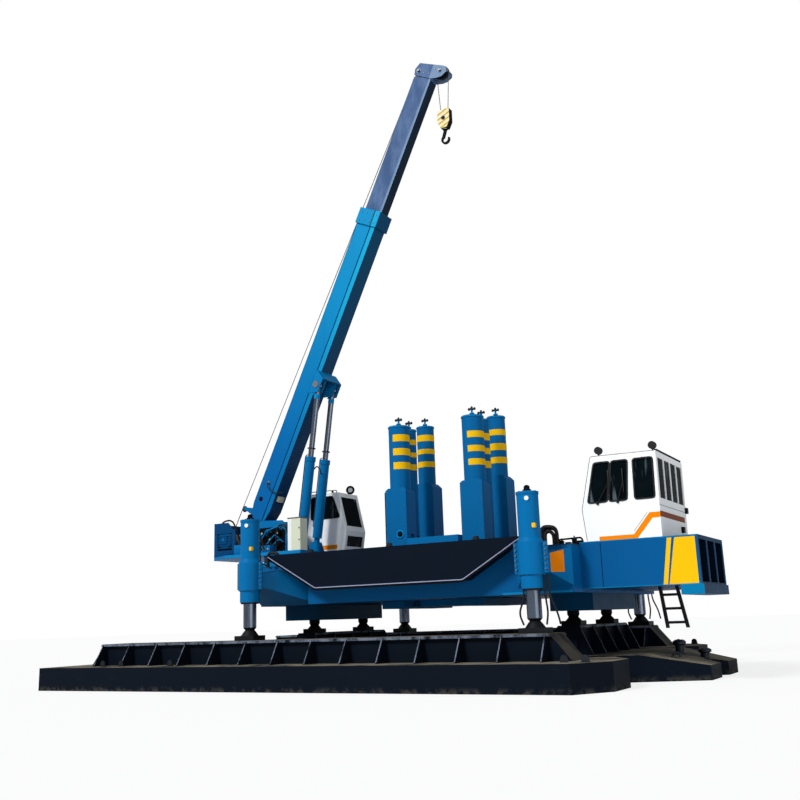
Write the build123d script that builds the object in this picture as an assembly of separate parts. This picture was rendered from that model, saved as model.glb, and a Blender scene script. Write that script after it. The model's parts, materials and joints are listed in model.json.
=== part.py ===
from build123d import *
import math
import os

# Hydraulic static pile driver: a platform on four jacks that walks on two long and two short pontoons,
# with a pressing unit in its middle, a telescopic crane at its left end and an operator's cab at its right.
# Millimetres, +X to the right along the long pontoons, +Y to the far side, +Z up.
# The origin is on the ground under the middle of the platform.

os.makedirs("parts", exist_ok=True)

# Clearances
SEAT_GAP = 0.3
RUN_GAP = 0.5
SLIDE_GAP = 10.0

# Plan of the platform
FRAME_HALF_LENGTH = 4660.0
FRAME_HALF_WIDTH = 2740.0
SIDE_BEAM_LEFT = -(FRAME_HALF_LENGTH - 2000.0)
SIDE_BEAM_OUTER = FRAME_HALF_WIDTH + 570.0
OUTRIGGER_OUTER = SIDE_BEAM_OUTER + 590.0
TANK_OUTER = SIDE_BEAM_OUTER + 480.0
JACK_X = FRAME_HALF_LENGTH - 680.0
JACK_Y = SIDE_BEAM_OUTER + 770.0
LONG_Y = JACK_Y
SHORT_X = FRAME_HALF_LENGTH - 790.0
CARRIER_X = (SHORT_X - 420.0, SHORT_X + 680.0)

# Long pontoons
NEAR_LONG_X = -2160.0
FAR_LONG_X = -2300.0
LONG_HALF_LENGTH = 8000.0
LONG_HALF_WIDTH = 1480.0
FLOAT_DEPTH = 600.0
NOSE_LENGTH = 600.0
NOSE_HALF_WIDTH = 550.0
LONG_BEAM_FOOT = (7100.0, 880.0)
LONG_BEAM_TOP = (6610.0, 540.0)
LONG_BEAM_HEIGHT = 580.0
LONG_CORE_HALF = 430.0
LONG_RIB_COUNT = 14
LONG_RIB_PITCH = 1009.0
RIB_THICKNESS = 30.0
FLANGE = 60.0
LONG_SLOT_HALF = 110.0
LONG_CAVITY_HALF = 240.0
LONG_CAVITY_DEPTH = 220.0
LONG_SLOT_REACH = 6500.0

# Short pontoons
SHORT_Y = 200.0
SHORT_CLEARANCE = 350.0
SHORT_HALF_LENGTH = LONG_Y - LONG_HALF_WIDTH - SHORT_CLEARANCE
SHORT_SHOULDER = 1550.0
SHORT_OUTER = (3180.0, SHORT_HALF_LENGTH - 760.0)
SHORT_INNER = (2970.0, SHORT_HALF_LENGTH - 950.0)
SHORT_NOTCH = ((3180.0, 425.0), (2700.0, 100.0))
SHORT_SLOPE_START = 1740.0
SHORT_EDGE_DEPTH = 330.0
SHORT_BEAM_FOOT = (600.0, SHORT_HALF_LENGTH - 150.0)
SHORT_BEAM_TOP = (280.0, SHORT_HALF_LENGTH - 350.0)
SHORT_BEAM_HEIGHT = 700.0
SHORT_CORE_HALF = 220.0
SHORT_RIB_COUNT = 5
SHORT_RIB_PITCH = (SHORT_HALF_LENGTH - 330.0) / 2
SHORT_SLOT_HALF = 80.0
SHORT_CAVITY_HALF = 170.0
SHORT_CAVITY_DEPTH = 190.0
SHORT_SLOT_REACH = SHORT_HALF_LENGTH - 500.0

# Jacks
JACK_ROD_RADIUS = 170.0
JACK_ROD_TOP = 3600.0
JACK_NECK_Z = 1500.0
JACK_BORE_TOP = 4150.0
JACK_FOOT = (310.0, 250.0)
JACK_FOOT_HEIGHT = 120.0
JACK_KEEL_HALF_LENGTH = 200.0
SLEEVE_RADIUS = 300.0
COLLAR_RADIUS = 260.0
TUBE_RADIUS = 250.0
CAP_RADIUS = 262.0
COLLAR_Z = 2146.0
SLEEVE_Z = 2450.0
TUBE_Z = 3264.0
SHOULDER_HEIGHT = 100.0
CAP_Z = 4240.0
JACK_TOP = 4300.0
SLEEVE_FLANGE = (400.0, 30.0)

# Platform
FRAME_BOTTOM = 2050.0
FRAME_TOP = 3100.0
WELL_HALF_X = 1510.0
WELL_HALF_Y = 1500.0
DECK_THICKNESS = 40.0
TANK_TOP = (FRAME_HALF_LENGTH - 1000.0, 3350.0)
TANK_BOTTOM = (FRAME_HALF_LENGTH - 2560.0, 2430.0)
OUTRIGGER_TIP_X = (JACK_X - 280.0, JACK_X + 300.0)
LEFT_OUTRIGGER_X = (JACK_X - 1320.0, JACK_X + 640.0)
RIGHT_OUTRIGGER_X = (JACK_X - 680.0, FRAME_HALF_LENGTH)
OUTRIGGER_INNER_Z = (2200.0, 3040.0)
OUTRIGGER_OUTER_Z = (2530.0, 2900.0)
CARRIER_HALF_LENGTH = 1750.0
CARRIER_BOTTOM = 1650.0
SUPPORT_Y = SHORT_HALF_LENGTH - 950.0
SUPPORT_BASE = (250.0, 210.0)
SUPPORT_BASE_HEIGHT = 110.0
SUPPORT_RADIUS = 150.0
SUPPORT_KEEL_HALF_LENGTH = 100.0

# Service boxes at the right end
BOX_END = FRAME_HALF_LENGTH + 2700.0
BOX_BOTTOM = 2120.0
BOX_TOP = 3190.0
POWER_PACK = ((FRAME_HALF_LENGTH + 290.0, FRAME_HALF_LENGTH + 1190.0), (500.0, 2300.0), 1000.0)
BOX_INNER_Y = 150.0
FAR_BOX_END = FRAME_HALF_LENGTH + 1340.0
LIP = (BOX_END - 460.0, BOX_END + 40.0, BOX_BOTTOM - 220.0)
POST_WIDTH = 110.0
RECESS_COUNT = 3
RECESS_DEPTH = 300.0
RECESS_MARGIN = (40.0, 90.0)
LADDER_Y = -1600.0
LADDER_TOP_X = (BOX_END - 1220.0, BOX_END - 830.0)
LADDER_FOOT_X = (BOX_END - 1120.0, BOX_END - 660.0)
LADDER_FOOT_Z = 1180.0
LADDER_RAIL = 70.0
LADDER_DEPTH = 80.0
LADDER_TREAD = 60.0
LADDER_STEPS = 3

# Press towers and pressing unit
TOWER_X = (WELL_HALF_X - 670.0, WELL_HALF_X)
TOWER_BLOCK_HALF_Y = 1450.0
TOWER_BLOCK_Z = (1870.0, 3300.0)
PRESS_CYLINDER_Y = (-810.0, -200.0, 810.0)
PRESS_TUBE_RADIUS = (300.0, 200.0, 260.0)
PRESS_TUBE_TOP = (7000.0, 7000.0, 7250.0)
TOWER_HOUSINGS = ((-810.0, 240.0, 5200.0), (810.0, 300.0, 5500.0))
TOWER_BEVEL = 120.0
TUBE_CAP = (60.0, 60.0)
PRESS_BORE = 130.0
PRESS_BORE_TOP = 6900.0
PRESS_SLOT_HALF = 90.0
PRESS_SLOT_Z = (1930.0, 3900.0)
PRESS_ROD_RADIUS = 110.0
PRESS_ROD_TOP = 6500.0
PISTON_LENGTH = 200.0
CLAMP_HALF_X = 620.0
CLAMP_HALF_Y = 900.0
CLAMP_Z = (1900.0, 3500.0)
CROSSHEAD_HALF = (780.0, 1250.0)
CROSSHEAD_TOP = 3750.0
FINGER_HALF = 80.0
PILE_HOLE_HALF = 400.0
JAW_X = (250.0, 395.0)
JAW_HALF_Y = 250.0
JAW_Z = (2200.0, 3200.0)
JAW_PIN_RADIUS = 60.0
JAW_PIN_REACH = 600.0
JAW_PIN_Z = (2450.0, 2950.0)

# Cabs
CAB_WALL = 50.0
CAB_GLASS_DEPTH = (20.0, 30.0)
CAB_Y = (-FRAME_HALF_WIDTH, -300.0)
CAB_FRONT_X = FRAME_HALF_LENGTH + 200.0
CAB_PROFILE = (
    (CAB_FRONT_X, BOX_TOP), (CAB_FRONT_X - 70.0, 3930.0), (CAB_FRONT_X + 220.0, 5160.0),
    (CAB_FRONT_X + 1760.0, 5140.0), (CAB_FRONT_X + 1740.0, BOX_TOP))
CAB_WINDOW_Z = (4070.0, 5000.0)
DOOR_GAP = 8.0
HINGE_OFFSET = 14.0
HINGE_PIN = 8.0
HINGE_KNUCKLE = 18.0
CAB_DOOR_X = (CAB_FRONT_X + 590.0, CAB_FRONT_X + 1390.0)
CAB_DOOR_Z = (3290.0, 5040.0)
CRANE_CAB_WALL = 40.0
CRANE_CAB_Y = (350.0, 1450.0)
CRANE_DOOR_Z = (3730.0, 5380.0)

# Crane
SLEW_X = -(FRAME_HALF_LENGTH + 690.0)
CRANE_Y = -500.0
PEDESTAL_X = (SLEW_X - 850.0, SLEW_X + 950.0)
PEDESTAL_HALF_Y = 900.0
PEDESTAL_Z = (2450.0, 3350.0)
SLEW_RING_RADIUS = 750.0
SLEW_RING_TOP = 3550.0
TABLE_TOP = 3650.0
TABLE_X = (SLEW_X - 2440.0, SLEW_X + 1510.0)
TABLE_Y = (-1550.0, 1500.0)
TABLE_NEAR_X = (SLEW_X - 1650.0, SLEW_X + 1200.0)
CRANE_CAB_X = SLEW_X + 10.0
CRANE_CAB_PROFILE = (
    (CRANE_CAB_X, TABLE_TOP), (CRANE_CAB_X + 60.0, 5520.0), (CRANE_CAB_X + 1260.0, 5500.0),
    (CRANE_CAB_X + 1540.0, 4300.0), (CRANE_CAB_X + 1440.0, TABLE_TOP))
CRANE_DOOR_X = (CRANE_CAB_X + 180.0, CRANE_CAB_X + 880.0)
CRANE_WINDOW_Z = (4450.0, 5360.0)
CRANE_FOOT_WINDOW_Z = (3830.0, 4150.0)
CRANE_SIDE_WINDOW = ((230.0, 4710.0), (260.0, 5400.0), (1060.0, 5390.0), (1310.0, 4720.0))
CRANE_FRONT_PANE = (1000.0, 1200.0, 1900.0)
CRANE_REAR_PANE = (-60.0, 140.0)
CRANE_PANE_MARGIN = (110.0, 130.0)
SEAT = (250.0, 400.0, 100.0, 1150.0)
CONSOLE = ((480.0, 760.0), (760.0, 900.0), 450.0)
BOOM_FOOT = (SLEW_X - 1130.0, 4480.0)
BOOM_ANGLE = 64.2
BOOM_COS = math.cos(math.radians(BOOM_ANGLE))
BOOM_SIN = math.sin(math.radians(BOOM_ANGLE))
BASE_HALF_DEPTH = 350.0
BASE_HALF_WIDTH = 285.0
BASE_WALL = 20.0
BASE_SPAN = (700.0, 10530.0)
MOUTH_COLLAR = (500.0, 50.0)
TIP_HALF_DEPTH = 320.0
TIP_HALF_WIDTH = 185.0
TIP_WALL = 16.0
TIP_SPAN = (6100.0, 15300.0)
TIP_CORNER_CUT = (400.0, 140.0)
PAD_GAP = 1.0
PAD_LENGTH = 300.0
FOOT_PIN_RADIUS = 70.0
FOOT_BOSS_RADIUS = 190.0
CHEEK_GAP = 10.0
CHEEK_THICKNESS = 40.0
LUFF_FOOT = (SLEW_X + 750.0, 3850.0)
LUFF_EYE_ALONG = 4880.0
LUFF_EYE_DROP = 490.0
LUFF_OFFSET = 385.0
LUFF_PIN_RADIUS = 60.0
LUFF_EYE_RADIUS = 145.0
LUFF_EYE_HALF_WIDTH = 90.0
LUFF_BARREL_RADIUS = 145.0
LUFF_BARREL_LENGTH = 2640.0
LUFF_BARREL_START = 240.0
LUFF_ROD_RADIUS = 85.0
LUFF_ROD_LENGTH = 3080.0
LUFF_BORE_START = 400.0
LUG_THICKNESS = 30.0
HEAD_PLATE_THICKNESS = 25.0
REAR_SHEAVE_RADIUS = 210.0
FRONT_SHEAVE_RADIUS = 220.0
GROOVE_DEPTH = 30.0
SHEAVE_HALF_WIDTH = 35.0
GROOVE_HALF_WIDTH = 15.0
SHEAVE_PIN_RADIUS = 40.0
FRONT_SHEAVE_AT = (TIP_SPAN[1] - 60.0, -530.0)
REAR_SHEAVE_AT = (TIP_SPAN[1] - 166.0, 218.0)
FALL_RADIUS = 12.0
HOOK_BLOCK_HEIGHT = 600.0
HOOK_BLOCK_DROP = 1290.0
HOOK_HALF_WIDTH = 200.0
HOOK_RING = (140.0, 90.0)
HOOK_DROP = 360.0
WINCH_X = (TABLE_X[0], SLEW_X - 1600.0)
WINCH_FLOOR_END = SLEW_X - 1750.0
WINCH_Y = (-1100.0, 100.0)
WINCH_TOP = 4700.0
WINCH_PLATE = 30.0
LOUVRE_COUNT = 6
DRUM_CENTRE = (SLEW_X - 2070.0, 4180.0)
DRUM_RADIUS = 180.0
DRUM_FLANGE_RADIUS = 260.0
DRUM_SHAFT_RADIUS = 45.0
CABINET_X = (SLEW_X + 700.0, SLEW_X + 1150.0)
CABINET_Y = (-1500.0, -1150.0)
CABINET_TOP = 4600.0


def write(name, *solids):
    """Writes one node; several solids that do not touch share it."""
    shape = solids[0] if len(solids) == 1 else Compound(children=list(solids))
    shape.label = name
    export_step(shape, f"parts/{name}.step")


def block(x0, x1, y0, y1, z0, z1):
    """Box between two corners."""
    return Pos((x0 + x1) / 2, (y0 + y1) / 2, (z0 + z1) / 2) * Box(abs(x1 - x0), abs(y1 - y0), abs(z1 - z0))


def prism(points, travel):
    """Straight prism over a flat outline, moved along a vector."""
    return Solid.extrude(Face(Wire.make_polygon(points, close=True)), Vector(*travel))


def prism_x(outline, x0, x1):
    """Prism along X over an outline of (y, z) corners."""
    return prism([(x0, y, z) for y, z in outline], (x1 - x0, 0, 0))


def prism_y(outline, y0, y1):
    """Prism along Y over an outline of (x, z) corners."""
    return prism([(x, y0, z) for x, z in outline], (0, y1 - y0, 0))


def prism_z(outline, z0, z1):
    """Prism along Z over an outline of (x, y) corners."""
    return prism([(x, y, z0) for x, y in outline], (0, 0, z1 - z0))


def frustum(foot, top, z0, z1):
    """Four-sided frustum about the Z axis; foot and top are (half X, half Y)."""
    wires = []
    for (hx, hy), z in ((foot, z0), (top, z1)):
        wires.append(Wire.make_polygon([(-hx, -hy, z), (hx, -hy, z), (hx, hy, z), (-hx, hy, z)], close=True))
    return Solid.make_loft(wires, True)


def post(x, y, z0, z1, radius):
    """Upright round bar."""
    return Pos(x, y, (z0 + z1) / 2) * Cylinder(radius, z1 - z0)


def axle(x, z, y0, y1, radius):
    """Round bar along Y."""
    return Pos(x, (y0 + y1) / 2, z) * Rot(90, 0, 0) * Cylinder(radius, y1 - y0)


def turned(profile):
    """Body turned about the Z axis from (radius, z) corners."""
    face = Face(Wire.make_polygon([(r, 0, z) for r, z in profile], close=True))
    return Solid.revolve(face, 360, Axis.Z)


def inset(outline, depth):
    """Outline of (x, z) corners moved inward by a depth."""
    face = Face(Wire.make_polygon([(x, z, 0) for x, z in outline], close=True))
    shrunk = offset(face, amount=-depth, kind=Kind.INTERSECTION).faces()[0]
    corners = [vertex.center() for vertex in shrunk.outer_wire().order_edges().vertices()]
    return [(point.X, point.Y) for point in corners]


def mirrored_x(shape):
    return mirror(shape, about=Plane.YZ)


def mirrored_y(shape):
    return mirror(shape, about=Plane.XZ)


# Long pontoons

def ribbed_beam(
        foot, top, height, core_half, rib_count, rib_pitch, slot_half, cavity_half, cavity_depth, reach):
    """Ribbed guide beam along X on z = 0: a box core with a top flange, ribs that lean in, sloping ends,
    and a T-shaped slot along its top that holds a sliding foot."""
    envelope = frustum(foot, top, 0, height)
    core = block(-foot[0], foot[0], -core_half, core_half, 0, height - FLANGE)
    core += block(-foot[0], foot[0], -top[1], top[1], height - FLANGE, height)
    first = -rib_pitch * (rib_count - 1) / 2
    for index in range(rib_count):
        middle = first + index * rib_pitch
        core += block(middle - RIB_THICKNESS / 2, middle + RIB_THICKNESS / 2, -foot[1], foot[1], 0, height)
    beam = envelope & core
    beam -= block(-reach, reach, -slot_half, slot_half, height - FLANGE, height)
    beam -= block(-reach, reach, -cavity_half, cavity_half, height - FLANGE - cavity_depth, height - FLANGE)
    return beam


def long_pontoon(x, y):
    """Flat float with a chamfered nose at its right end, under a ribbed guide beam."""
    half = [
        (LONG_HALF_LENGTH, NOSE_HALF_WIDTH), (LONG_HALF_LENGTH - NOSE_LENGTH, LONG_HALF_WIDTH),
        (-LONG_HALF_LENGTH, LONG_HALF_WIDTH)]
    outline = half + [(px, -py) for px, py in reversed(half)]
    float_box = prism_z(outline, 0, FLOAT_DEPTH)
    beam = ribbed_beam(
        LONG_BEAM_FOOT, LONG_BEAM_TOP, LONG_BEAM_HEIGHT, LONG_CORE_HALF, LONG_RIB_COUNT, LONG_RIB_PITCH,
        LONG_SLOT_HALF, LONG_CAVITY_HALF, LONG_CAVITY_DEPTH, LONG_SLOT_REACH)
    return Pos(x, y, 0) * (float_box + Pos(0, 0, FLOAT_DEPTH) * beam)


write("near_long_pontoon", long_pontoon(NEAR_LONG_X, -LONG_Y))
write("far_long_pontoon", long_pontoon(FAR_LONG_X, LONG_Y))

# Short pontoons: floats with sloping tongues at both ends, under a ribbed beam across the platform


def short_pontoon():
    """Right short pontoon about its own beam centre, outer end towards +X."""
    half = [(SHORT_SHOULDER, SHORT_HALF_LENGTH), SHORT_OUTER, SHORT_NOTCH[0], SHORT_NOTCH[1]]
    outline = half + [(px, -py) for px, py in reversed(half)]
    outline += [(-SHORT_SHOULDER, -SHORT_HALF_LENGTH), (-SHORT_INNER[0], -SHORT_INNER[1])]
    outline += [(-SHORT_INNER[0], SHORT_INNER[1]), (-SHORT_SHOULDER, SHORT_HALF_LENGTH)]
    float_box = prism_z(outline, 0, FLOAT_DEPTH)
    fall = (FLOAT_DEPTH - SHORT_EDGE_DEPTH) / (SHORT_OUTER[0] - SHORT_SLOPE_START)
    for side in (1, -1):
        reach = SHORT_OUTER[0] + 100
        edge = FLOAT_DEPTH - fall * (reach - SHORT_SLOPE_START)
        slope = [(side * SHORT_SLOPE_START, FLOAT_DEPTH), (side * reach, edge), (side * reach, FLOAT_DEPTH)]
        float_box -= prism_y(slope, -SHORT_HALF_LENGTH - 100, SHORT_HALF_LENGTH + 100)
    beam = ribbed_beam(
        SHORT_BEAM_FOOT[::-1], SHORT_BEAM_TOP[::-1], SHORT_BEAM_HEIGHT, SHORT_CORE_HALF, SHORT_RIB_COUNT,
        SHORT_RIB_PITCH, SHORT_SLOT_HALF, SHORT_CAVITY_HALF, SHORT_CAVITY_DEPTH, SHORT_SLOT_REACH)
    return float_box + Pos(0, 0, FLOAT_DEPTH) * Rot(0, 0, 90) * beam


right_short = Pos(SHORT_X, SHORT_Y, 0) * short_pontoon()
write("right_short_pontoon", right_short)
write("left_short_pontoon", mirrored_x(right_short))

# Jacks


def jack_sleeve(x, y):
    """Sleeve, collar and upper tube of one jack with its clamping flanges, bored for the rod."""
    body = turned([
        (0, COLLAR_Z), (COLLAR_RADIUS, COLLAR_Z), (COLLAR_RADIUS, SLEEVE_Z), (SLEEVE_RADIUS, SLEEVE_Z),
        (SLEEVE_RADIUS, TUBE_Z - SHOULDER_HEIGHT), (TUBE_RADIUS, TUBE_Z), (TUBE_RADIUS, CAP_Z),
        (CAP_RADIUS, CAP_Z), (CAP_RADIUS, JACK_TOP), (0, JACK_TOP)])
    reach, half = SLEEVE_FLANGE
    body += block(-reach, reach, -half, half, SLEEVE_Z + FLANGE / 2, TUBE_Z - SHOULDER_HEIGHT)
    body -= post(0, 0, COLLAR_Z, JACK_BORE_TOP, JACK_ROD_RADIUS + RUN_GAP)
    return Pos(x, y, 0) * body


LONG_BEAM_Z = FLOAT_DEPTH + LONG_BEAM_HEIGHT


def slot_keel(half_length, top, slot_half, cavity_half, cavity_depth):
    """T-shaped keel along X that hangs in a guide beam's slot from a foot at height top."""
    neck = block(-half_length, half_length, -slot_half + SLIDE_GAP, slot_half - SLIDE_GAP,
                 top - FLANGE - SLIDE_GAP, top + SEAT_GAP)
    head = block(-half_length, half_length, -cavity_half + SLIDE_GAP, cavity_half - SLIDE_GAP,
                 top - FLANGE - cavity_depth + SLIDE_GAP, top - FLANGE - SLIDE_GAP)
    return neck + head


def jack_rod(x, y):
    """Chromed rod with a ball neck on a sliding foot."""
    base = LONG_BEAM_Z + SEAT_GAP
    plate = base + JACK_FOOT_HEIGHT
    body = turned([
        (0, plate), (230, plate), (150, JACK_NECK_Z - 90), (120, JACK_NECK_Z - 60),
        (JACK_ROD_RADIUS, JACK_NECK_Z),
        (JACK_ROD_RADIUS, JACK_ROD_TOP), (0, JACK_ROD_TOP)])
    body += block(-JACK_FOOT[0], JACK_FOOT[0], -JACK_FOOT[1], JACK_FOOT[1], base, plate)
    body += slot_keel(JACK_KEEL_HALF_LENGTH, LONG_BEAM_Z, LONG_SLOT_HALF, LONG_CAVITY_HALF, LONG_CAVITY_DEPTH)
    return Pos(x, y, 0) * body


write("jack_sleeves", *[jack_sleeve(sx * JACK_X, sy * JACK_Y) for sx in (1, -1) for sy in (1, -1)])
write("near_jack_rods", *[jack_rod(sx * JACK_X, -JACK_Y) for sx in (1, -1)])
write("far_jack_rods", *[jack_rod(sx * JACK_X, JACK_Y) for sx in (1, -1)])

# Platform

WELL = block(-WELL_HALF_X, WELL_HALF_X, -WELL_HALF_Y, WELL_HALF_Y, 0, 9000)


def platform_slab(z0, z1):
    """Plan of the platform with its side beams, open at the press well."""
    slab = block(-FRAME_HALF_LENGTH, FRAME_HALF_LENGTH, -FRAME_HALF_WIDTH, FRAME_HALF_WIDTH, z0, z1)
    slab += block(SIDE_BEAM_LEFT, FRAME_HALF_LENGTH, -SIDE_BEAM_OUTER, SIDE_BEAM_OUTER, z0, z1)
    return slab - WELL


DECK_TOP = FRAME_TOP + DECK_THICKNESS
write("main_frame", platform_slab(FRAME_BOTTOM, FRAME_TOP))
write("deck_plate", platform_slab(FRAME_TOP, DECK_TOP))

TANK_OUTLINE = [
    (-TANK_TOP[0], TANK_TOP[1]), (-TANK_BOTTOM[0], TANK_BOTTOM[1]),
    (TANK_BOTTOM[0], TANK_BOTTOM[1]), (TANK_TOP[0], TANK_TOP[1])]
near_tank = prism_y(TANK_OUTLINE, -TANK_OUTER, -SIDE_BEAM_OUTER)
write("near_side_tank", near_tank)
write("far_side_tank", mirrored_y(near_tank))


def outrigger(root_y, root_x, root_z):
    """Outrigger arm at the far right corner from a root of the given plan depth, width and height span:
    it narrows towards its jack, rises from below and is scooped for the sleeve."""
    plan = [
        (root_x[0], root_y), (OUTRIGGER_TIP_X[0], OUTRIGGER_OUTER), (OUTRIGGER_TIP_X[1], OUTRIGGER_OUTER),
        (root_x[1], root_y)]
    side = [
        (root_y, root_z[0]), (OUTRIGGER_OUTER, OUTRIGGER_OUTER_Z[0]), (OUTRIGGER_OUTER, OUTRIGGER_OUTER_Z[1]),
        (root_y, root_z[1])]
    arm = prism_z(plan, FRAME_BOTTOM, FRAME_TOP) & prism_x(side, root_x[0], root_x[1])
    arm -= post(JACK_X, JACK_Y, COLLAR_Z, TUBE_Z, SLEEVE_RADIUS + SEAT_GAP)
    flange_x, flange_y = SLEEVE_FLANGE
    arm -= block(JACK_X - flange_x - SLIDE_GAP, JACK_X + flange_x + SLIDE_GAP,
                 JACK_Y - flange_y - SLIDE_GAP, JACK_Y + flange_y + SLIDE_GAP, COLLAR_Z, TUBE_Z)
    return arm - mirrored_y(near_tank)


right_arm = outrigger(SIDE_BEAM_OUTER, RIGHT_OUTRIGGER_X, OUTRIGGER_INNER_Z)
left_arm = outrigger(FRAME_HALF_WIDTH, LEFT_OUTRIGGER_X, (FRAME_BOTTOM, OUTRIGGER_INNER_Z[1]))
write("outriggers", right_arm, mirrored_y(right_arm), mirrored_x(left_arm), mirrored_x(mirrored_y(left_arm)))

SHORT_BEAM_Z = FLOAT_DEPTH + SHORT_BEAM_HEIGHT


def carrier_beam():
    """Right cross beam under the frame with its two feet in the short pontoon's slot."""
    beam = block(
        CARRIER_X[0], CARRIER_X[1], -CARRIER_HALF_LENGTH, CARRIER_HALF_LENGTH, CARRIER_BOTTOM, FRAME_BOTTOM)
    base = SHORT_BEAM_Z + SEAT_GAP
    plate = base + SUPPORT_BASE_HEIGHT
    foot = turned([
        (0, plate), (200, plate), (120, plate + 90), (SUPPORT_RADIUS, plate + 150),
        (SUPPORT_RADIUS, CARRIER_BOTTOM), (0, CARRIER_BOTTOM)])
    foot += block(-SUPPORT_BASE[0], SUPPORT_BASE[0], -SUPPORT_BASE[1], SUPPORT_BASE[1], base, plate)
    keel = slot_keel(
        SUPPORT_KEEL_HALF_LENGTH, SHORT_BEAM_Z, SHORT_SLOT_HALF, SHORT_CAVITY_HALF, SHORT_CAVITY_DEPTH)
    foot += Rot(0, 0, 90) * keel
    for side in (1, -1):
        beam += Pos(SHORT_X, side * SUPPORT_Y, 0) * foot
    return beam


right_carrier = carrier_beam()
write("right_carrier_beam", right_carrier)
write("left_carrier_beam", mirrored_x(right_carrier))

# Service boxes and ladder


def near_service_box():
    """Box with recessed bays between the posts of its right end and a lip below."""
    box = block(FRAME_HALF_LENGTH, BOX_END, -FRAME_HALF_WIDTH, -BOX_INNER_Y, BOX_BOTTOM, BOX_TOP)
    box += block(LIP[0], LIP[1], -FRAME_HALF_WIDTH, -BOX_INNER_Y, LIP[2], BOX_BOTTOM)
    width = FRAME_HALF_WIDTH - BOX_INNER_Y
    bay = (width - POST_WIDTH * (RECESS_COUNT + 1)) / RECESS_COUNT
    for index in range(RECESS_COUNT):
        start = -FRAME_HALF_WIDTH + POST_WIDTH + index * (bay + POST_WIDTH)
        box -= block(BOX_END - RECESS_DEPTH, BOX_END, start, start + bay,
                     BOX_BOTTOM + RECESS_MARGIN[0], BOX_TOP - RECESS_MARGIN[1])
    return box


write("near_service_box", near_service_box())
write("power_pack", block(*POWER_PACK[0], *POWER_PACK[1], BOX_TOP, BOX_TOP + POWER_PACK[2]))
write("far_service_box",
      block(FRAME_HALF_LENGTH, FAR_BOX_END, BOX_INNER_Y, FRAME_HALF_WIDTH, BOX_BOTTOM, BOX_TOP))


def ladder():
    """Two rails that spread and lean out from the box's underside, with flat treads."""
    y0 = LADDER_Y - LADDER_DEPTH / 2
    y1 = LADDER_Y + LADDER_DEPTH / 2
    body = None
    for top, foot in zip(LADDER_TOP_X, LADDER_FOOT_X):
        rail = prism_y([
            (top - LADDER_RAIL / 2, BOX_BOTTOM), (foot - LADDER_RAIL / 2, LADDER_FOOT_Z),
            (foot + LADDER_RAIL / 2, LADDER_FOOT_Z), (top + LADDER_RAIL / 2, BOX_BOTTOM)], y0, y1)
        body = rail if body is None else body + rail
    for index in range(LADDER_STEPS):
        share = (index + 0.3) / LADDER_STEPS
        z = LADDER_FOOT_Z + share * (BOX_BOTTOM - LADDER_FOOT_Z)
        left = LADDER_FOOT_X[0] + share * (LADDER_TOP_X[0] - LADDER_FOOT_X[0])
        right = LADDER_FOOT_X[1] + share * (LADDER_TOP_X[1] - LADDER_FOOT_X[1])
        body += block(left, right, y0 + 8, y1 - 8, z, z + LADDER_TREAD)
    return body


write("ladder", ladder())

# Press towers: three pressing cylinders on each side of the well, each with a slot for the crosshead's finger


def press_tower():
    """Right press tower."""
    x0, x1 = TOWER_X
    middle = (x0 + x1) / 2
    foot = TOWER_BLOCK_Z[1]
    tower = block(x0, x1, -TOWER_BLOCK_HALF_Y, TOWER_BLOCK_HALF_Y, *TOWER_BLOCK_Z)
    for y, half, top in TOWER_HOUSINGS:
        outline = [
            (x0, foot), (x0, top - TOWER_BEVEL), (x0 + TOWER_BEVEL, top), (x1 - TOWER_BEVEL, top),
            (x1, top - TOWER_BEVEL), (x1, foot)]
        tower += prism_y(outline, y - half, y + half)
    for y, radius, top in zip(PRESS_CYLINDER_Y, PRESS_TUBE_RADIUS, PRESS_TUBE_TOP):
        tower += post(middle, y, foot, top, radius)
        tower += post(middle, y, top, top + TUBE_CAP[1], TUBE_CAP[0])
    for y in PRESS_CYLINDER_Y:
        tower -= post(middle, y, TOWER_BLOCK_Z[0], PRESS_BORE_TOP, PRESS_BORE)
        tower -= block(x0, middle, y - PRESS_SLOT_HALF, y + PRESS_SLOT_HALF, *PRESS_SLOT_Z)
    return tower


right_tower = press_tower()
write("press_towers_right", right_tower)
write("press_towers_left", mirrored_x(right_tower))

# Pressing unit


def clamp_box():
    """Clamping box with the crosshead that hangs it from the six press rods."""
    box = block(-CLAMP_HALF_X, CLAMP_HALF_X, -CLAMP_HALF_Y, CLAMP_HALF_Y, *CLAMP_Z)
    box += block(-CROSSHEAD_HALF[0], CROSSHEAD_HALF[0], -CROSSHEAD_HALF[1], CROSSHEAD_HALF[1],
                 CLAMP_Z[1], CROSSHEAD_TOP)
    middle = sum(TOWER_X) / 2
    for y in PRESS_CYLINDER_Y:
        box += block(-middle, middle, y - FINGER_HALF, y + FINGER_HALF, CLAMP_Z[1], CROSSHEAD_TOP)
        for side in (1, -1):
            box += post(side * middle, y, CLAMP_Z[1], CROSSHEAD_TOP, PRESS_ROD_RADIUS)
    box -= block(-PILE_HOLE_HALF, PILE_HOLE_HALF, -PILE_HOLE_HALF, PILE_HOLE_HALF, CLAMP_Z[0], CROSSHEAD_TOP)
    for z in JAW_PIN_Z:
        bore = Cylinder(JAW_PIN_RADIUS + RUN_GAP, 2 * (JAW_PIN_REACH + SEAT_GAP))
        pin = Pos(0, 0, z) * Rot(0, 90, 0) * bore
        box -= pin
    return box


write("clamp_box", clamp_box())
press_middle = sum(TOWER_X) / 2


def press_rod(x, y):
    """Press rod on the crosshead with its piston in the cylinder's bore."""
    rod = post(x, y, CROSSHEAD_TOP, PRESS_ROD_TOP, PRESS_ROD_RADIUS)
    return rod + post(x, y, PRESS_ROD_TOP - PISTON_LENGTH, PRESS_ROD_TOP, PRESS_BORE - SEAT_GAP)


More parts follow.
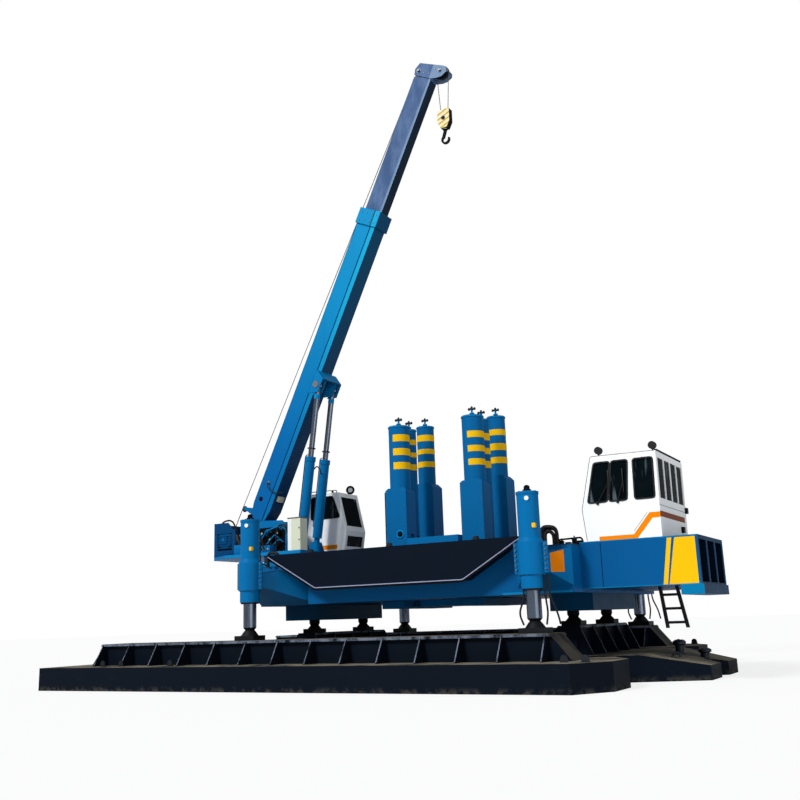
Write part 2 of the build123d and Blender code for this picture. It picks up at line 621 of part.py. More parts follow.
write("press_rods", *[press_rod(side * press_middle, y) for side in (1, -1) for y in PRESS_CYLINDER_Y])


def jaw():
    """Right jaw: a gripping block on two guide pins in the clamping box's wall."""
    body = block(JAW_X[0], JAW_X[1], -JAW_HALF_Y, JAW_HALF_Y, *JAW_Z)
    for z in JAW_PIN_Z:
        length = JAW_PIN_REACH - JAW_X[1]
        body += Pos(JAW_X[1] + length / 2, 0, z) * Rot(0, 90, 0) * Cylinder(JAW_PIN_RADIUS, length)
    return body


right_jaw = jaw()
write("jaw_right", right_jaw)
write("jaw_left", mirrored_x(right_jaw))

# Operator's cab


def hinge_sites(door_z):
    return (door_z[0] + 250, door_z[1] - 250)


def cab_parts(profile, y_span, wall, windows, door_x, door_z, door_window):
    """Shell, panes, door and door pane of a cab whose door is in its far side, hinged at its greater x.
    windows are cutter solids; door_window is (x0, x1, z0, z1)."""
    y0, y1 = y_span
    outer = prism_y(profile, y0, y1)
    inner = prism_y(inset(profile, wall), y0 + wall, y1 - wall)
    cutter = None
    for window in windows:
        cutter = window if cutter is None else cutter + window
    layer = prism_y(inset(profile, CAB_GLASS_DEPTH[0]), y0 + CAB_GLASS_DEPTH[0], y1 - CAB_GLASS_DEPTH[0])
    layer -= prism_y(inset(profile, CAB_GLASS_DEPTH[1]), y0 + CAB_GLASS_DEPTH[1], y1 - CAB_GLASS_DEPTH[1])
    shell = outer - inner - cutter
    shell -= block(door_x[0], door_x[1], y1 - wall, y1, door_z[0], door_z[1])
    door = block(
        door_x[0] + DOOR_GAP, door_x[1] - DOOR_GAP, y1 - wall, y1, door_z[0] + DOOR_GAP, door_z[1] - DOOR_GAP)
    wx0, wx1, wz0, wz1 = door_window
    door -= block(wx0, wx1, y1 - wall, y1, wz0, wz1)
    door_glass = block(wx0, wx1, y1 - CAB_GLASS_DEPTH[1], y1 - CAB_GLASS_DEPTH[0], wz0, wz1)
    hinge_x = door_x[1]
    hinge_y = y1 + HINGE_OFFSET + HINGE_KNUCKLE - 12
    for z in hinge_sites(door_z):
        knuckle = post(hinge_x, hinge_y, z, z + 100, HINGE_KNUCKLE)
        knuckle += block(hinge_x - 90, hinge_x, y1, hinge_y, z, z + 100)
        knuckle -= post(hinge_x, hinge_y, z, z + 100, HINGE_PIN + SEAT_GAP)
        door += knuckle
        bracket = post(hinge_x, hinge_y, z - 40, z - 1, HINGE_KNUCKLE)
        bracket += block(hinge_x, hinge_x + 90, y1, hinge_y + HINGE_KNUCKLE / 2, z - 40, z - 1)
        bracket += post(hinge_x, hinge_y, z - 40, z + 100, HINGE_PIN)
        shell += bracket
    return shell, layer & cutter, door, door_glass


NEAR_WINDOW_X = (
    ((80.0, 290.0), (555.0, 675.0)),
    ((595.0, 710.0), (1020.0, 1100.0)),
    ((1200.0, 1220.0), (1660.0, 1680.0)))
END_WINDOW_COUNT = 4
END_WINDOW_Y = (CAB_Y[0] + 140.0, CAB_Y[1] - 120.0)
END_WINDOW_POST = 70.0

cab_windows = []
for (left_foot, left_top), (right_foot, right_top) in NEAR_WINDOW_X:
    outline = [
        (CAB_FRONT_X + left_foot, CAB_WINDOW_Z[0]), (CAB_FRONT_X + left_top, CAB_WINDOW_Z[1]),
        (CAB_FRONT_X + right_top, CAB_WINDOW_Z[1]), (CAB_FRONT_X + right_foot, CAB_WINDOW_Z[0])]
    cab_windows.append(prism_y(outline, CAB_Y[0] - 10, CAB_Y[0] + CAB_WALL))
pane = (END_WINDOW_Y[1] - END_WINDOW_Y[0] - END_WINDOW_POST * (END_WINDOW_COUNT - 1)) / END_WINDOW_COUNT
for index in range(END_WINDOW_COUNT):
    start = END_WINDOW_Y[0] + index * (pane + END_WINDOW_POST)
    cab_windows.append(block(CAB_FRONT_X + 1540, CAB_FRONT_X + 1840, start, start + pane, *CAB_WINDOW_Z))
cab_windows.append(block(CAB_FRONT_X - 160, CAB_FRONT_X + 390, *END_WINDOW_Y, *CAB_WINDOW_Z))
shell, glass, door, door_glass = cab_parts(
    CAB_PROFILE, CAB_Y, CAB_WALL, cab_windows, CAB_DOOR_X, CAB_DOOR_Z,
    (CAB_DOOR_X[0] + 110, CAB_DOOR_X[1] - 110, CAB_WINDOW_Z[0], CAB_DOOR_Z[1] - 100))
write("main_cab_shell", shell)
write("main_cab_glass", *glass.solids())
write("main_cab_door", door)
write("main_cab_door_glass", door_glass)


def seat_and_console(x, y, floor, facing):
    """Seat on a post and a sloping console, in front of it in the direction of facing along X."""
    half, height, cushion, back = SEAT
    seat = block(-half, half, -half, half, height, height + cushion)
    seat += prism_y([
        (-half, height + cushion), (-half - 80, back), (20 - half, back), (100 - half, height + cushion)],
        10 - half, half - 10)
    seat += block(-half / 2, half / 2, -half / 2, half / 2, 0, height)
    (low_x, low_z), (high_x, high_z), console_half = CONSOLE
    console = prism_y([
        (low_x, 0), (low_x, low_z), (high_x, high_z), (high_x, 0)], -console_half, console_half)
    parts = [seat, console]
    if facing < 0:
        parts = [mirrored_x(one) for one in parts]
    return [Pos(x, y, floor) * one for one in parts]


write("main_cab_interior", *seat_and_console(CAB_FRONT_X + 990, -1500, BOX_TOP + CAB_WALL, -1))


def lamp(x, y, z):
    """Round work lamp on a short post, facing the near side."""
    body = post(x, y, z, z + 60, 20)
    body += Pos(x, y, z + 60 + 85) * Rot(90, 0, 0) * Cylinder(90, 110)
    return body


LAMPS = ((CAB_FRONT_X + 390, -2600.0), (CAB_FRONT_X + 1670, -2600.0))


def roof_height(x):
    """Height of the operator's cab roof at x."""
    (x0, z0), (x1, z1) = CAB_PROFILE[2], CAB_PROFILE[3]
    return z0 + (z1 - z0) * (x - x0) / (x1 - x0)


write("work_lamps", *[
    lamp(x, y, roof_height(x)) - prism_y(CAB_PROFILE, CAB_Y[0], CAB_Y[1]) for x, y in LAMPS])

# Crane pedestal and turntable

pedestal = block(
    PEDESTAL_X[0], -FRAME_HALF_LENGTH, CRANE_Y - PEDESTAL_HALF_Y, CRANE_Y + PEDESTAL_HALF_Y, *PEDESTAL_Z)
pedestal += block(-FRAME_HALF_LENGTH, PEDESTAL_X[1], CRANE_Y - PEDESTAL_HALF_Y, CRANE_Y + PEDESTAL_HALF_Y,
                  DECK_TOP, PEDESTAL_Z[1])
pedestal += post(SLEW_X, CRANE_Y, PEDESTAL_Z[1], SLEW_RING_TOP, SLEW_RING_RADIUS)
write("crane_pedestal", pedestal)

CHEEK_Y = BASE_HALF_WIDTH + CHEEK_GAP


def crane_turntable():
    """Slewing deck with the two cheeks of the boom's foot pin and the lugs of the luffing cylinders."""
    table = prism_z([
        (TABLE_X[0], WINCH_Y[0]), (TABLE_NEAR_X[0], TABLE_Y[0]), (TABLE_NEAR_X[1], TABLE_Y[0]),
        (TABLE_NEAR_X[1], CRANE_CAB_Y[0] - 150), (TABLE_X[1], CRANE_CAB_Y[0] - 150), (TABLE_X[1], TABLE_Y[1]),
        (TABLE_NEAR_X[0], TABLE_Y[1]), (TABLE_X[0], WINCH_Y[1])],
        SLEW_RING_TOP + SEAT_GAP, TABLE_TOP)
    fx, fz = BOOM_FOOT
    for side in (1, -1):
        y0 = CRANE_Y + side * CHEEK_Y
        y1 = CRANE_Y + side * (CHEEK_Y + CHEEK_THICKNESS)
        outline = [(fx - 480, TABLE_TOP), (fx + 1330, TABLE_TOP), (fx + 1310, fz + 10), (fx + 1120, fz + 170),
                   (fx + 120, fz + 220), (fx - 150, fz + 220), (fx - 300, fz + 100)]
        table += prism_y(outline, min(y0, y1), max(y0, y1))
        for edge in (-1, 1):
            near = CRANE_Y + side * LUFF_OFFSET + edge * (LUFF_EYE_HALF_WIDTH + SLIDE_GAP)
            away = near + edge * LUG_THICKNESS
            gx, gz = LUFF_FOOT
            lug = [(gx - 220, TABLE_TOP), (gx + 220, TABLE_TOP), (gx + 110, gz + 110), (gx - 110, gz + 110)]
            table += prism_y(lug, min(near, away), max(near, away))
        reach = LUFF_EYE_HALF_WIDTH + SLIDE_GAP + LUG_THICKNESS
        table += axle(gx, gz, CRANE_Y + side * LUFF_OFFSET - reach, CRANE_Y + side * LUFF_OFFSET + reach,
                      LUFF_PIN_RADIUS)
    table += axle(fx, fz, CRANE_Y - CHEEK_Y - CHEEK_THICKNESS - 20, CRANE_Y + CHEEK_Y + CHEEK_THICKNESS + 20,
                  FOOT_PIN_RADIUS)
    return table


write("crane_turntable", crane_turntable())

crane_windows = [
    prism_y([(CRANE_CAB_X + x, z) for x, z in CRANE_SIDE_WINDOW],
            CRANE_CAB_Y[0] - 10, CRANE_CAB_Y[0] + CRANE_CAB_WALL),
    block(CRANE_CAB_X + CRANE_FRONT_PANE[0], CRANE_CAB_X + CRANE_FRONT_PANE[2],
          CRANE_CAB_Y[0] + CRANE_PANE_MARGIN[0], CRANE_CAB_Y[1] - CRANE_PANE_MARGIN[0], *CRANE_WINDOW_Z),
    block(CRANE_CAB_X + CRANE_FRONT_PANE[1], CRANE_CAB_X + CRANE_FRONT_PANE[2],
          CRANE_CAB_Y[0] + CRANE_PANE_MARGIN[0], CRANE_CAB_Y[1] - CRANE_PANE_MARGIN[0], *CRANE_FOOT_WINDOW_Z),
    block(CRANE_CAB_X + CRANE_REAR_PANE[0], CRANE_CAB_X + CRANE_REAR_PANE[1],
          CRANE_CAB_Y[0] + CRANE_PANE_MARGIN[1], CRANE_CAB_Y[1] - CRANE_PANE_MARGIN[1], *CRANE_WINDOW_Z)]
shell, glass, door, door_glass = cab_parts(
    CRANE_CAB_PROFILE, CRANE_CAB_Y, CRANE_CAB_WALL, crane_windows, CRANE_DOOR_X, CRANE_DOOR_Z,
    (CRANE_DOOR_X[0] + 100, CRANE_DOOR_X[1] - 100, CRANE_WINDOW_Z[0], CRANE_DOOR_Z[1] - 100))
write("crane_cab_shell", shell)
write("crane_cab_glass", *glass.solids())
write("crane_cab_door", door)
write("crane_cab_door_glass", door_glass)
write("crane_cab_interior", *seat_and_console(CRANE_CAB_X + 560, 850, TABLE_TOP + CRANE_CAB_WALL, 1))

write("crane_cabinet", block(CABINET_X[0], CABINET_X[1], CABINET_Y[0], CABINET_Y[1], TABLE_TOP, CABINET_TOP))


def winch_frame():
    """Open frame for the hoisting winch: end plate, floor, two louvred cheeks and the shaft's bosses."""
    x0, x1 = WINCH_X
    y0, y1 = WINCH_Y
    floor = TABLE_TOP + WINCH_PLATE
    frame = block(x0, x0 + WINCH_PLATE, y0, y1, TABLE_TOP, WINCH_TOP)
    frame += block(x0, WINCH_FLOOR_END, y0, y1, TABLE_TOP, floor)
    outline = [
        (x0, TABLE_TOP), (x0, WINCH_TOP), (x1 - 300, WINCH_TOP), (x1, WINCH_TOP - 300), (x1, TABLE_TOP)]
    window = (x0 + 130, x1 - 130, TABLE_TOP + 200, WINCH_TOP - 330)
    pitch = (window[3] - window[2]) / (LOUVRE_COUNT + 1)
    cx, cz = DRUM_CENTRE
    for near, away in ((y0, y0 + WINCH_PLATE), (y1 - WINCH_PLATE, y1)):
        cheek = prism_y(outline, near, away) - block(window[0], window[1], near, away, window[2], window[3])
        for index in range(LOUVRE_COUNT):
            z = window[2] + (index + 1) * pitch
            cheek += block(window[0] - 20, window[1] + 20, near + 6, away - 6, z - 15, z + 15)
        cheek += axle(cx, cz, near, away, 140)
        cheek -= axle(cx, cz, near, away, DRUM_SHAFT_RADIUS + SEAT_GAP)
        frame += cheek
    return frame


write("winch_frame", winch_frame())


def winch_drum():
    """Rope drum between flanges on its shaft."""
    cx, cz = DRUM_CENTRE
    y0 = WINCH_Y[0] + WINCH_PLATE + SLIDE_GAP
    y1 = WINCH_Y[1] - WINCH_PLATE - SLIDE_GAP
    drum = axle(cx, cz, y0 + 30, y1 - 30, DRUM_RADIUS)
    drum += axle(cx, cz, y0 + 5, y0 + 35, DRUM_FLANGE_RADIUS)
    drum += axle(cx, cz, y1 - 35, y1 - 5, DRUM_FLANGE_RADIUS)
    drum += axle(cx, cz, WINCH_Y[0] - 15, WINCH_Y[1] + 15, DRUM_SHAFT_RADIUS)
    return drum


write("winch_drum", winch_drum())

# Boom


def on_boom(along, up):
    """(x, z) of a point given along the boom's axis and square to it, up towards the boom's back."""
    return (BOOM_FOOT[0] + along * BOOM_COS - up * BOOM_SIN, BOOM_FOOT[1] + along * BOOM_SIN + up * BOOM_COS)


def boom_prism(corners, half_width):
    """Prism across the boom over (along, up) corners, centred on the boom's plane."""
    return prism_y([on_boom(*corner) for corner in corners], CRANE_Y - half_width, CRANE_Y + half_width)


def boom_box(a0, a1, u0, u1, half_width):
    return boom_prism([(a0, u0), (a1, u0), (a1, u1), (a0, u1)], half_width)


def boom_base():
    """Base section: an open box with a foot boss, a stiff mouth with slide pads and the luffing bracket."""
    start, end = BASE_SPAN
    deep, wide = BASE_HALF_DEPTH, BASE_HALF_WIDTH
    body = boom_box(start, end, -deep, deep, wide)
    length, height = MOUTH_COLLAR
    body += boom_box(end - length, end, -deep - height, deep + height, wide + height)
    body += boom_prism([(start, -deep), (start, deep), (0, FOOT_BOSS_RADIUS), (0, -FOOT_BOSS_RADIUS)], wide)
    fx, fz = BOOM_FOOT
    body += axle(fx, fz, CRANE_Y - wide, CRANE_Y + wide, FOOT_BOSS_RADIUS)
    body -= boom_box(start + 400, end, -deep + BASE_WALL, deep - BASE_WALL, wide - BASE_WALL)
    body -= axle(fx, fz, CRANE_Y - wide, CRANE_Y + wide, FOOT_PIN_RADIUS + SEAT_GAP)
    pad = boom_box(end - PAD_LENGTH, end, -deep + BASE_WALL, deep - BASE_WALL, wide - BASE_WALL)
    pad -= boom_box(end - PAD_LENGTH, end, -TIP_HALF_DEPTH - PAD_GAP, TIP_HALF_DEPTH + PAD_GAP,
                    TIP_HALF_WIDTH + PAD_GAP)
    body += pad
    # Luffing bracket: four cheeks under the boom joined by a plate, pinned at the rods' eyes
    along, drop = LUFF_EYE_ALONG, -LUFF_EYE_DROP
    outline = [
        (along - 330, -deep), (along - 200, drop - 170), (along + 200, drop - 170), (along + 380, -deep)]
    plan = [on_boom(*corner) for corner in outline]
    inner = LUFF_OFFSET - LUFF_EYE_HALF_WIDTH - SLIDE_GAP
    outer = LUFF_OFFSET + LUFF_EYE_HALF_WIDTH + SLIDE_GAP
    ex, ez = on_boom(along, drop)
    for side in (1, -1):
        for offset_y in (inner - LUG_THICKNESS, outer):
            y0 = CRANE_Y + side * offset_y
            y1 = CRANE_Y + side * (offset_y + LUG_THICKNESS)
            body += prism_y(plan, min(y0, y1), max(y0, y1))
    across = outer + LUG_THICKNESS
    plate = [(along + 200, drop - 170), (along + 380, -deep), (along + 420, -deep), (along + 240, drop - 170)]
    body += boom_prism(plate, across)
    return body


write("boom_base", boom_base())

# Head plate as (along, up) from the tip's end
HEAD_PLATE = (
    (-360.0, -TIP_HALF_DEPTH), (-300.0, -545.0), (-230.0, -670.0), (-80.0, -775.0), (30.0, -745.0),
    (100.0, -640.0),
    (80.0, 270.0), (-130.0, 370.0), (-320.0, TIP_HALF_DEPTH))
FRONT_SHEAVE = on_boom(*FRONT_SHEAVE_AT)
REAR_SHEAVE = on_boom(*REAR_SHEAVE_AT)
SHEAVES = ((REAR_SHEAVE, REAR_SHEAVE_RADIUS), (FRONT_SHEAVE, FRONT_SHEAVE_RADIUS))


def boom_tip():
    """Inner section with the two head plates that carry the rope sheaves."""
    start, end = TIP_SPAN
    deep, wide = TIP_HALF_DEPTH, TIP_HALF_WIDTH
    body = boom_box(start, end, -deep, deep, wide)
    cut_length, cut_height = TIP_CORNER_CUT
    body -= boom_prism([(end - cut_length, -deep), (end, -deep), (end, -deep + cut_height)], wide)
    outline = [on_boom(end + along, up) for along, up in HEAD_PLATE]
    for side in (1, -1):
        y0 = CRANE_Y + side * wide
        y1 = CRANE_Y + side * (wide + HEAD_PLATE_THICKNESS)
        body += prism_y(outline, min(y0, y1), max(y0, y1))
    body -= boom_box(start, end - 500, -deep + TIP_WALL, deep - TIP_WALL, wide - TIP_WALL)
    for (x, z), radius in SHEAVES:
        body -= axle(x, z, CRANE_Y - wide, CRANE_Y + wide, radius + SLIDE_GAP)
    pin_reach = wide + HEAD_PLATE_THICKNESS + 15
    for (x, z), _ in SHEAVES:
        body += axle(x, z, CRANE_Y - pin_reach, CRANE_Y + pin_reach, SHEAVE_PIN_RADIUS)
    return body


write("boom_tip", boom_tip())


def sheave(x, z, radius):
    """Grooved rope wheel on its pin."""
    near, away = CRANE_Y - SHEAVE_HALF_WIDTH, CRANE_Y + SHEAVE_HALF_WIDTH
    groove_near, groove_away = CRANE_Y - GROOVE_HALF_WIDTH, CRANE_Y + GROOVE_HALF_WIDTH
    wheel = axle(x, z, near, away, radius)
    groove = axle(x, z, groove_near, groove_away, radius + 1)
    wheel -= groove - axle(x, z, groove_near, groove_away, radius - GROOVE_DEPTH)
    return wheel - axle(x, z, near, away, SHEAVE_PIN_RADIUS + SEAT_GAP)


write("head_sheaves", *[sheave(x, z, radius) for (x, z), radius in SHEAVES])

# Luffing cylinders

LUFF_EYE = on_boom(LUFF_EYE_ALONG, -LUFF_EYE_DROP)
LUFF_RUN = (LUFF_EYE[0] - LUFF_FOOT[0], LUFF_EYE[1] - LUFF_FOOT[1])
LUFF_LENGTH = math.hypot(*LUFF_RUN)
LUFF_DIRECTION = (LUFF_RUN[0] / LUFF_LENGTH, LUFF_RUN[1] / LUFF_LENGTH)


def luff_bar(y, start, end, radius):
    """Round bar along the luffing cylinder's line."""
    plane = Plane(
        origin=(LUFF_FOOT[0] + start * LUFF_DIRECTION[0], y, LUFF_FOOT[1] + start * LUFF_DIRECTION[1]),
        x_dir=(0, 1, 0), z_dir=(LUFF_DIRECTION[0], 0, LUFF_DIRECTION[1]))
    return plane.location * Pos(0, 0, (end - start) / 2) * Cylinder(radius, end - start)


def luff_barrel(y):
    body = luff_bar(y, LUFF_BARREL_START, LUFF_BARREL_LENGTH, LUFF_BARREL_RADIUS)
    body += luff_bar(y, 0, LUFF_BARREL_START, LUFF_EYE_HALF_WIDTH)
    body += luff_bar(y, LUFF_BARREL_LENGTH - 140, LUFF_BARREL_LENGTH, LUFF_BARREL_RADIUS + 15)
    near, away = y - LUFF_EYE_HALF_WIDTH, y + LUFF_EYE_HALF_WIDTH
    body += axle(LUFF_FOOT[0], LUFF_FOOT[1], near, away, LUFF_EYE_RADIUS)
    body -= luff_bar(y, LUFF_BORE_START, LUFF_BARREL_LENGTH, LUFF_ROD_RADIUS + RUN_GAP)
    return body - axle(LUFF_FOOT[0], LUFF_FOOT[1], y - LUFF_EYE_HALF_WIDTH, y + LUFF_EYE_HALF_WIDTH,
                       LUFF_PIN_RADIUS + SEAT_GAP)


def luff_rod(y):
    body = luff_bar(y, LUFF_LENGTH - LUFF_ROD_LENGTH, LUFF_LENGTH, LUFF_ROD_RADIUS)
    return body + axle(LUFF_EYE[0], LUFF_EYE[1], y - LUFF_EYE_HALF_WIDTH, y + LUFF_EYE_HALF_WIDTH, 120)


LUFF_Y = (CRANE_Y - LUFF_OFFSET, CRANE_Y + LUFF_OFFSET)
write("luff_barrels", *[luff_barrel(y) for y in LUFF_Y])
write("luff_rods", *[luff_rod(y) for y in LUFF_Y])

# Hoist rope falls and hook block

HOOK_X, HOOK_PIN_Z = FRONT_SHEAVE
HOOK_BLOCK_TOP = HOOK_PIN_Z - HOOK_BLOCK_DROP
FALL_OFFSET = FRONT_SHEAVE_RADIUS - GROOVE_DEPTH + FALL_RADIUS + SEAT_GAP
write("hoist_falls", *[
    post(HOOK_X + side * FALL_OFFSET, CRANE_Y, HOOK_BLOCK_TOP + SEAT_GAP, HOOK_PIN_Z, FALL_RADIUS)
    for side in (-1, 1)])


def hook_block():
    """Two cheek plates about a sheave, a swivel below and a forged hook that opens to the right."""
    top = HOOK_BLOCK_TOP
    bottom = top - HOOK_BLOCK_HEIGHT
    half = HOOK_HALF_WIDTH
    outline = [(-100, bottom), (-half, bottom + 200), (-half, top - 60), (-half + 60, top), (half, top),
               (half, bottom + 200), (100, bottom)]
    body = prism_y([(HOOK_X + x, z) for x, z in outline], CRANE_Y - 110, CRANE_Y + 110)
    body += post(HOOK_X, CRANE_Y, bottom - 60, bottom, 60)
    middle = bottom - HOOK_DROP
    outer, inner = HOOK_RING
    steps = 16
    bend = []
    for radius, order in ((outer, range(steps + 1)), (inner, reversed(range(steps + 1)))):
        for step in order:
            angle = math.radians(130 + 250 * step / steps)
            bend.append((HOOK_X + radius * math.cos(angle), middle + radius * math.sin(angle)))
    body += prism_y(bend, CRANE_Y - 40, CRANE_Y + 40)
    body += prism_y([
        (HOOK_X - 110, middle + 70), (HOOK_X - 35, bottom - 50), (HOOK_X + 45, bottom - 50),
        (HOOK_X - 40, middle + 60)],
        CRANE_Y - 40, CRANE_Y + 40)
    return body


write("hook_block", hook_block())
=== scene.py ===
"""Looks of the hydraulic static pile driver: finishes, wear, ropes, hoses, fasteners, light and camera.
Metres, +X along the long pontoons, +Y to the far side, +Z up, origin on the ground under the press."""
import json
import math

import bpy
import numpy as np
from mathutils import Matrix, Vector


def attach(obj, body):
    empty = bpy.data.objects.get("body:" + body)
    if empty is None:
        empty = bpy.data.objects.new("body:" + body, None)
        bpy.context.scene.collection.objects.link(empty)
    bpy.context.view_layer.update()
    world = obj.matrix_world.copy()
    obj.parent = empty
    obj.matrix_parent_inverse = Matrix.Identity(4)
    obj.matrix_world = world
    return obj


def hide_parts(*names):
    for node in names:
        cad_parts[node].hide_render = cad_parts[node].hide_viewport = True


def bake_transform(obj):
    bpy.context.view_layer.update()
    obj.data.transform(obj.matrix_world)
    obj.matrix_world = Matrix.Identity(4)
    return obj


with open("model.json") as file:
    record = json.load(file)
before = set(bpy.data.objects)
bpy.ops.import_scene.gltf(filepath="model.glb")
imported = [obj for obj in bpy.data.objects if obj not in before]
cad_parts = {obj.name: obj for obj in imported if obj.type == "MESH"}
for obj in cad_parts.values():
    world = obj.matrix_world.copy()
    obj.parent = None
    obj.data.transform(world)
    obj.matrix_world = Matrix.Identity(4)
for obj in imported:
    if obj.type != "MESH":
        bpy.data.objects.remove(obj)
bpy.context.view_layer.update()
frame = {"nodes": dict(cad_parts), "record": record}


# Colours, as linear values worked out from screen values

def screen(red, green, blue):
    """Linear colour of a screen colour given from 0 to 255."""
    levels = np.array([red, green, blue]) / 255
    linear = np.where(levels <= 0.04045, levels / 12.92, ((levels + 0.055) / 1.055) ** 2.4)
    return (*linear, 1.0)


def shaded(colour, share):
    """Colour darkened or lightened by a factor."""
    return (*(channel * share for channel in colour[:3]), 1.0)


BLUE = screen(0, 106, 166)
# The frame's blue is darkened: painted shade under the outriggers and tanks
FRAME_SHADE_BLUE = screen(0, 88, 146)
BOX_BLUE = screen(0, 86, 145)
DECK_BLUE = screen(6, 62, 98)
# The boom's blue low down and high up make a painted gradient of light; the strip colour after them is a
# painted highlight
BOOM_LOW = screen(0, 96, 162)
BOOM_HIGH = screen(4, 140, 196)
BOOM_HIGHLIGHT = screen(16, 168, 214)
SLATE = screen(62, 90, 132)
SLATE_LIGHT = screen(92, 118, 158)
NAVY = screen(6, 13, 23)
TANK_NAVY = screen(6, 17, 31)
CAB_WHITE = screen(238, 240, 241)
YELLOW = screen(244, 192, 6)
ORANGE = screen(232, 128, 0)
BROWN = screen(126, 56, 6)
# Mud colour, lightened to stand in for sunlight on the decks: real mud and painted light
MUD_AND_SUNLIGHT = screen(140, 132, 114)
PALE_EDGE = screen(112, 122, 140)
LILAC = screen(150, 156, 184)
RUST = screen(80, 46, 26)
GRIME = screen(16, 20, 26)
DUST = screen(86, 88, 86)
RUBBER = screen(13, 14, 16)
BLACK = screen(6, 8, 11)
WHITE = (1.0, 1.0, 1.0, 1.0)
SKY = (0.93, 0.97, 1.0, 1.0)


# Shader arithmetic

def operation(name):
    """Method of Term that adds a Math node of the named operation."""
    def method(self, *others):
        return self.owner.node("Math", {"operation": name}, dict(enumerate((self, *others))))[0]
    return method


class Term:
    """A socket that takes part in plain arithmetic. Each sign adds one Math node, a number less a term two."""

    def __init__(self, owner, socket):
        self.owner = owner
        self.socket = socket

    def __rsub__(self, other):
        return self * -1.0 + other

    __add__ = __radd__ = operation("ADD")
    __mul__ = __rmul__ = operation("MULTIPLY")
    __sub__ = operation("SUBTRACT")
    __mod__ = operation("FLOORED_MODULO")
    __gt__ = operation("GREATER_THAN")
    __lt__ = operation("LESS_THAN")
    __or__ = operation("MAXIMUM")
    __and__ = operation("MINIMUM")
    __abs__ = operation("ABSOLUTE")


class Nodes:
    """The emptied node tree of a material or world, and the call that adds to it."""

    def __init__(self, owner):
        owner.use_nodes = True
        self.tree = owner.node_tree
        self.tree.nodes.clear()

    def fill(self, made, sockets):
        """Values or links of a node's sockets, by name or index."""
        for key, value in sockets.items():
            if isinstance(value, Term):
                self.tree.links.new(value.socket, made.inputs[key])
            else:
                made.inputs[key].default_value = value

    def node(self, kind, settings, sockets):
        """Adds a node, its settings first and then its sockets, and gives its outputs by name and index."""
        made = self.tree.nodes.new("ShaderNode" + kind)
        for key, value in settings.items():
            setattr(made, key, value)
        self.fill(made, sockets)
        outputs = {socket.name: Term(self, socket) for socket in made.outputs}
        outputs.update({i: Term(self, socket) for i, socket in enumerate(made.outputs)})
        return outputs


class Finish(Nodes):
    """One material: where a point lies, which way it faces, and the calls that build its look."""

    def __init__(self, name):
        self.material = bpy.data.materials.new(name)
        super().__init__(self.material)
        output = self.tree.nodes.new("ShaderNodeOutputMaterial")
        self.shader = self.tree.nodes.new("ShaderNodeBsdfPrincipled")
        self.tree.links.new(self.shader.outputs[0], output.inputs[0])
        self.place = self.node("TexCoord", {}, {})["Object"]
        split = self.node("SeparateXYZ", {}, {0: self.place})
        self.x, self.y, self.z = split[0], split[1], split[2]
        normal = self.node("SeparateXYZ", {}, {0: self.node("NewGeometry", {}, {})["Normal"]})
        self.facing_x, self.facing_y, self.up = normal[0], normal[1], normal[2]

    def noise(self, scale, detail=4.0, rough=0.55, stretch=(1, 1, 1)):
        """Smooth noise from 0 to 1 over the object's own coordinates; scale is in waves a metre."""
        where = self.node("Mapping", {}, {"Vector": self.place, "Scale": tuple(scale * s for s in stretch)})[0]
        sockets = {"Vector": where, "Scale": 1.0, "Detail": detail, "Roughness": rough}
        return self.node("TexNoise", {}, sockets)[0]

    def patches(self, low, high, *noise):
        """Noise that rises from 0 at low to 1 at high."""
        return self.step(self.noise(*noise), low, high)

    def step(self, value, low, high):
        """Smooth rise from 0 at low to 1 at high."""
        settings = {"interpolation_type": "SMOOTHSTEP"}
        return self.node("MapRange", settings, {"Value": value, "From Min": low, "From Max": high})[0]

    def mix(self, share, first, second):
        """Colour between two colours."""
        return self.node("Mix", {"data_type": "RGBA"}, {0: share, 6: first, 7: second})[2]

    def bump(self, height, strength, distance):
        """Normal tilted by the height's slope; the distance is in metres."""
        return self.node("Bump", {}, {"Height": height, "Strength": strength, "Distance": distance})[0]

    def between(self, value, low, high):
        """1 where low < value < high."""
        return (value > low) * (value < high)

    def set(self, **sockets):
        """Values or links of the shader's own sockets; underscores stand for spaces."""
        self.fill(self.shader, {key.replace("_", " "): value for key, value in sockets.items()})
        return self.material


# Finishes

PAINT_SHINE = 0.05
CAB_SIDE = -2.7
PONTOON_GAP = 2.7
BEVEL_FACES = (0.8, 0.95)
# Range of downward facing over which the painted shade of undersides rises
UNDERSIDE_SHADE = (0.15, 0.35)


def worn(finish, shade, gloss=0.34, dirt=0.35, grime=GRIME, trim=()):
    """Wear over a paint colour: it drifts a little, grime runs down it, dust gathers on upward faces and spots
    chip to rust. The trim's colours lie over that."""
    drift = finish.noise(0.5, 3.0)
    shade = finish.mix(drift * 0.22, shade, grime)
    runs = finish.patches(0.55, 0.85, 1.0, 5.0, 0.6, (7, 7, 0.55)) * dirt
    shade = finish.mix(runs * 0.55, shade, grime)
    dust = finish.step(finish.up, 0.6, 0.95) * finish.patches(0.35, 0.7, 2.2, 6.0, 0.6) * dirt
    shade = finish.mix(dust * 0.75, shade, DUST)
    specks = finish.patches(0.7, 0.73, 9.0, 6.0, 0.7)
    chips = specks * finish.patches(0.48, 0.62, 0.8, 2.0) * dirt
    shade = finish.mix(chips, shade, RUST)
    for mask, colour in trim:
        shade = finish.mix(mask, shade, colour)
    rough = gloss + finish.noise(3.0, 5.0) * 0.18 + dust * 0.35 + chips * 0.3
    peel = finish.bump(finish.noise(26.0, 2.0), 0.05, 0.004)
    return finish.set(Base_Color=shade, Roughness=rough, Normal=peel, Specular_IOR_Level=PAINT_SHINE)


def enamel(name, colour, **wear):
    """Plain painted steel of one colour."""
    return worn(Finish(name), colour, **wear)


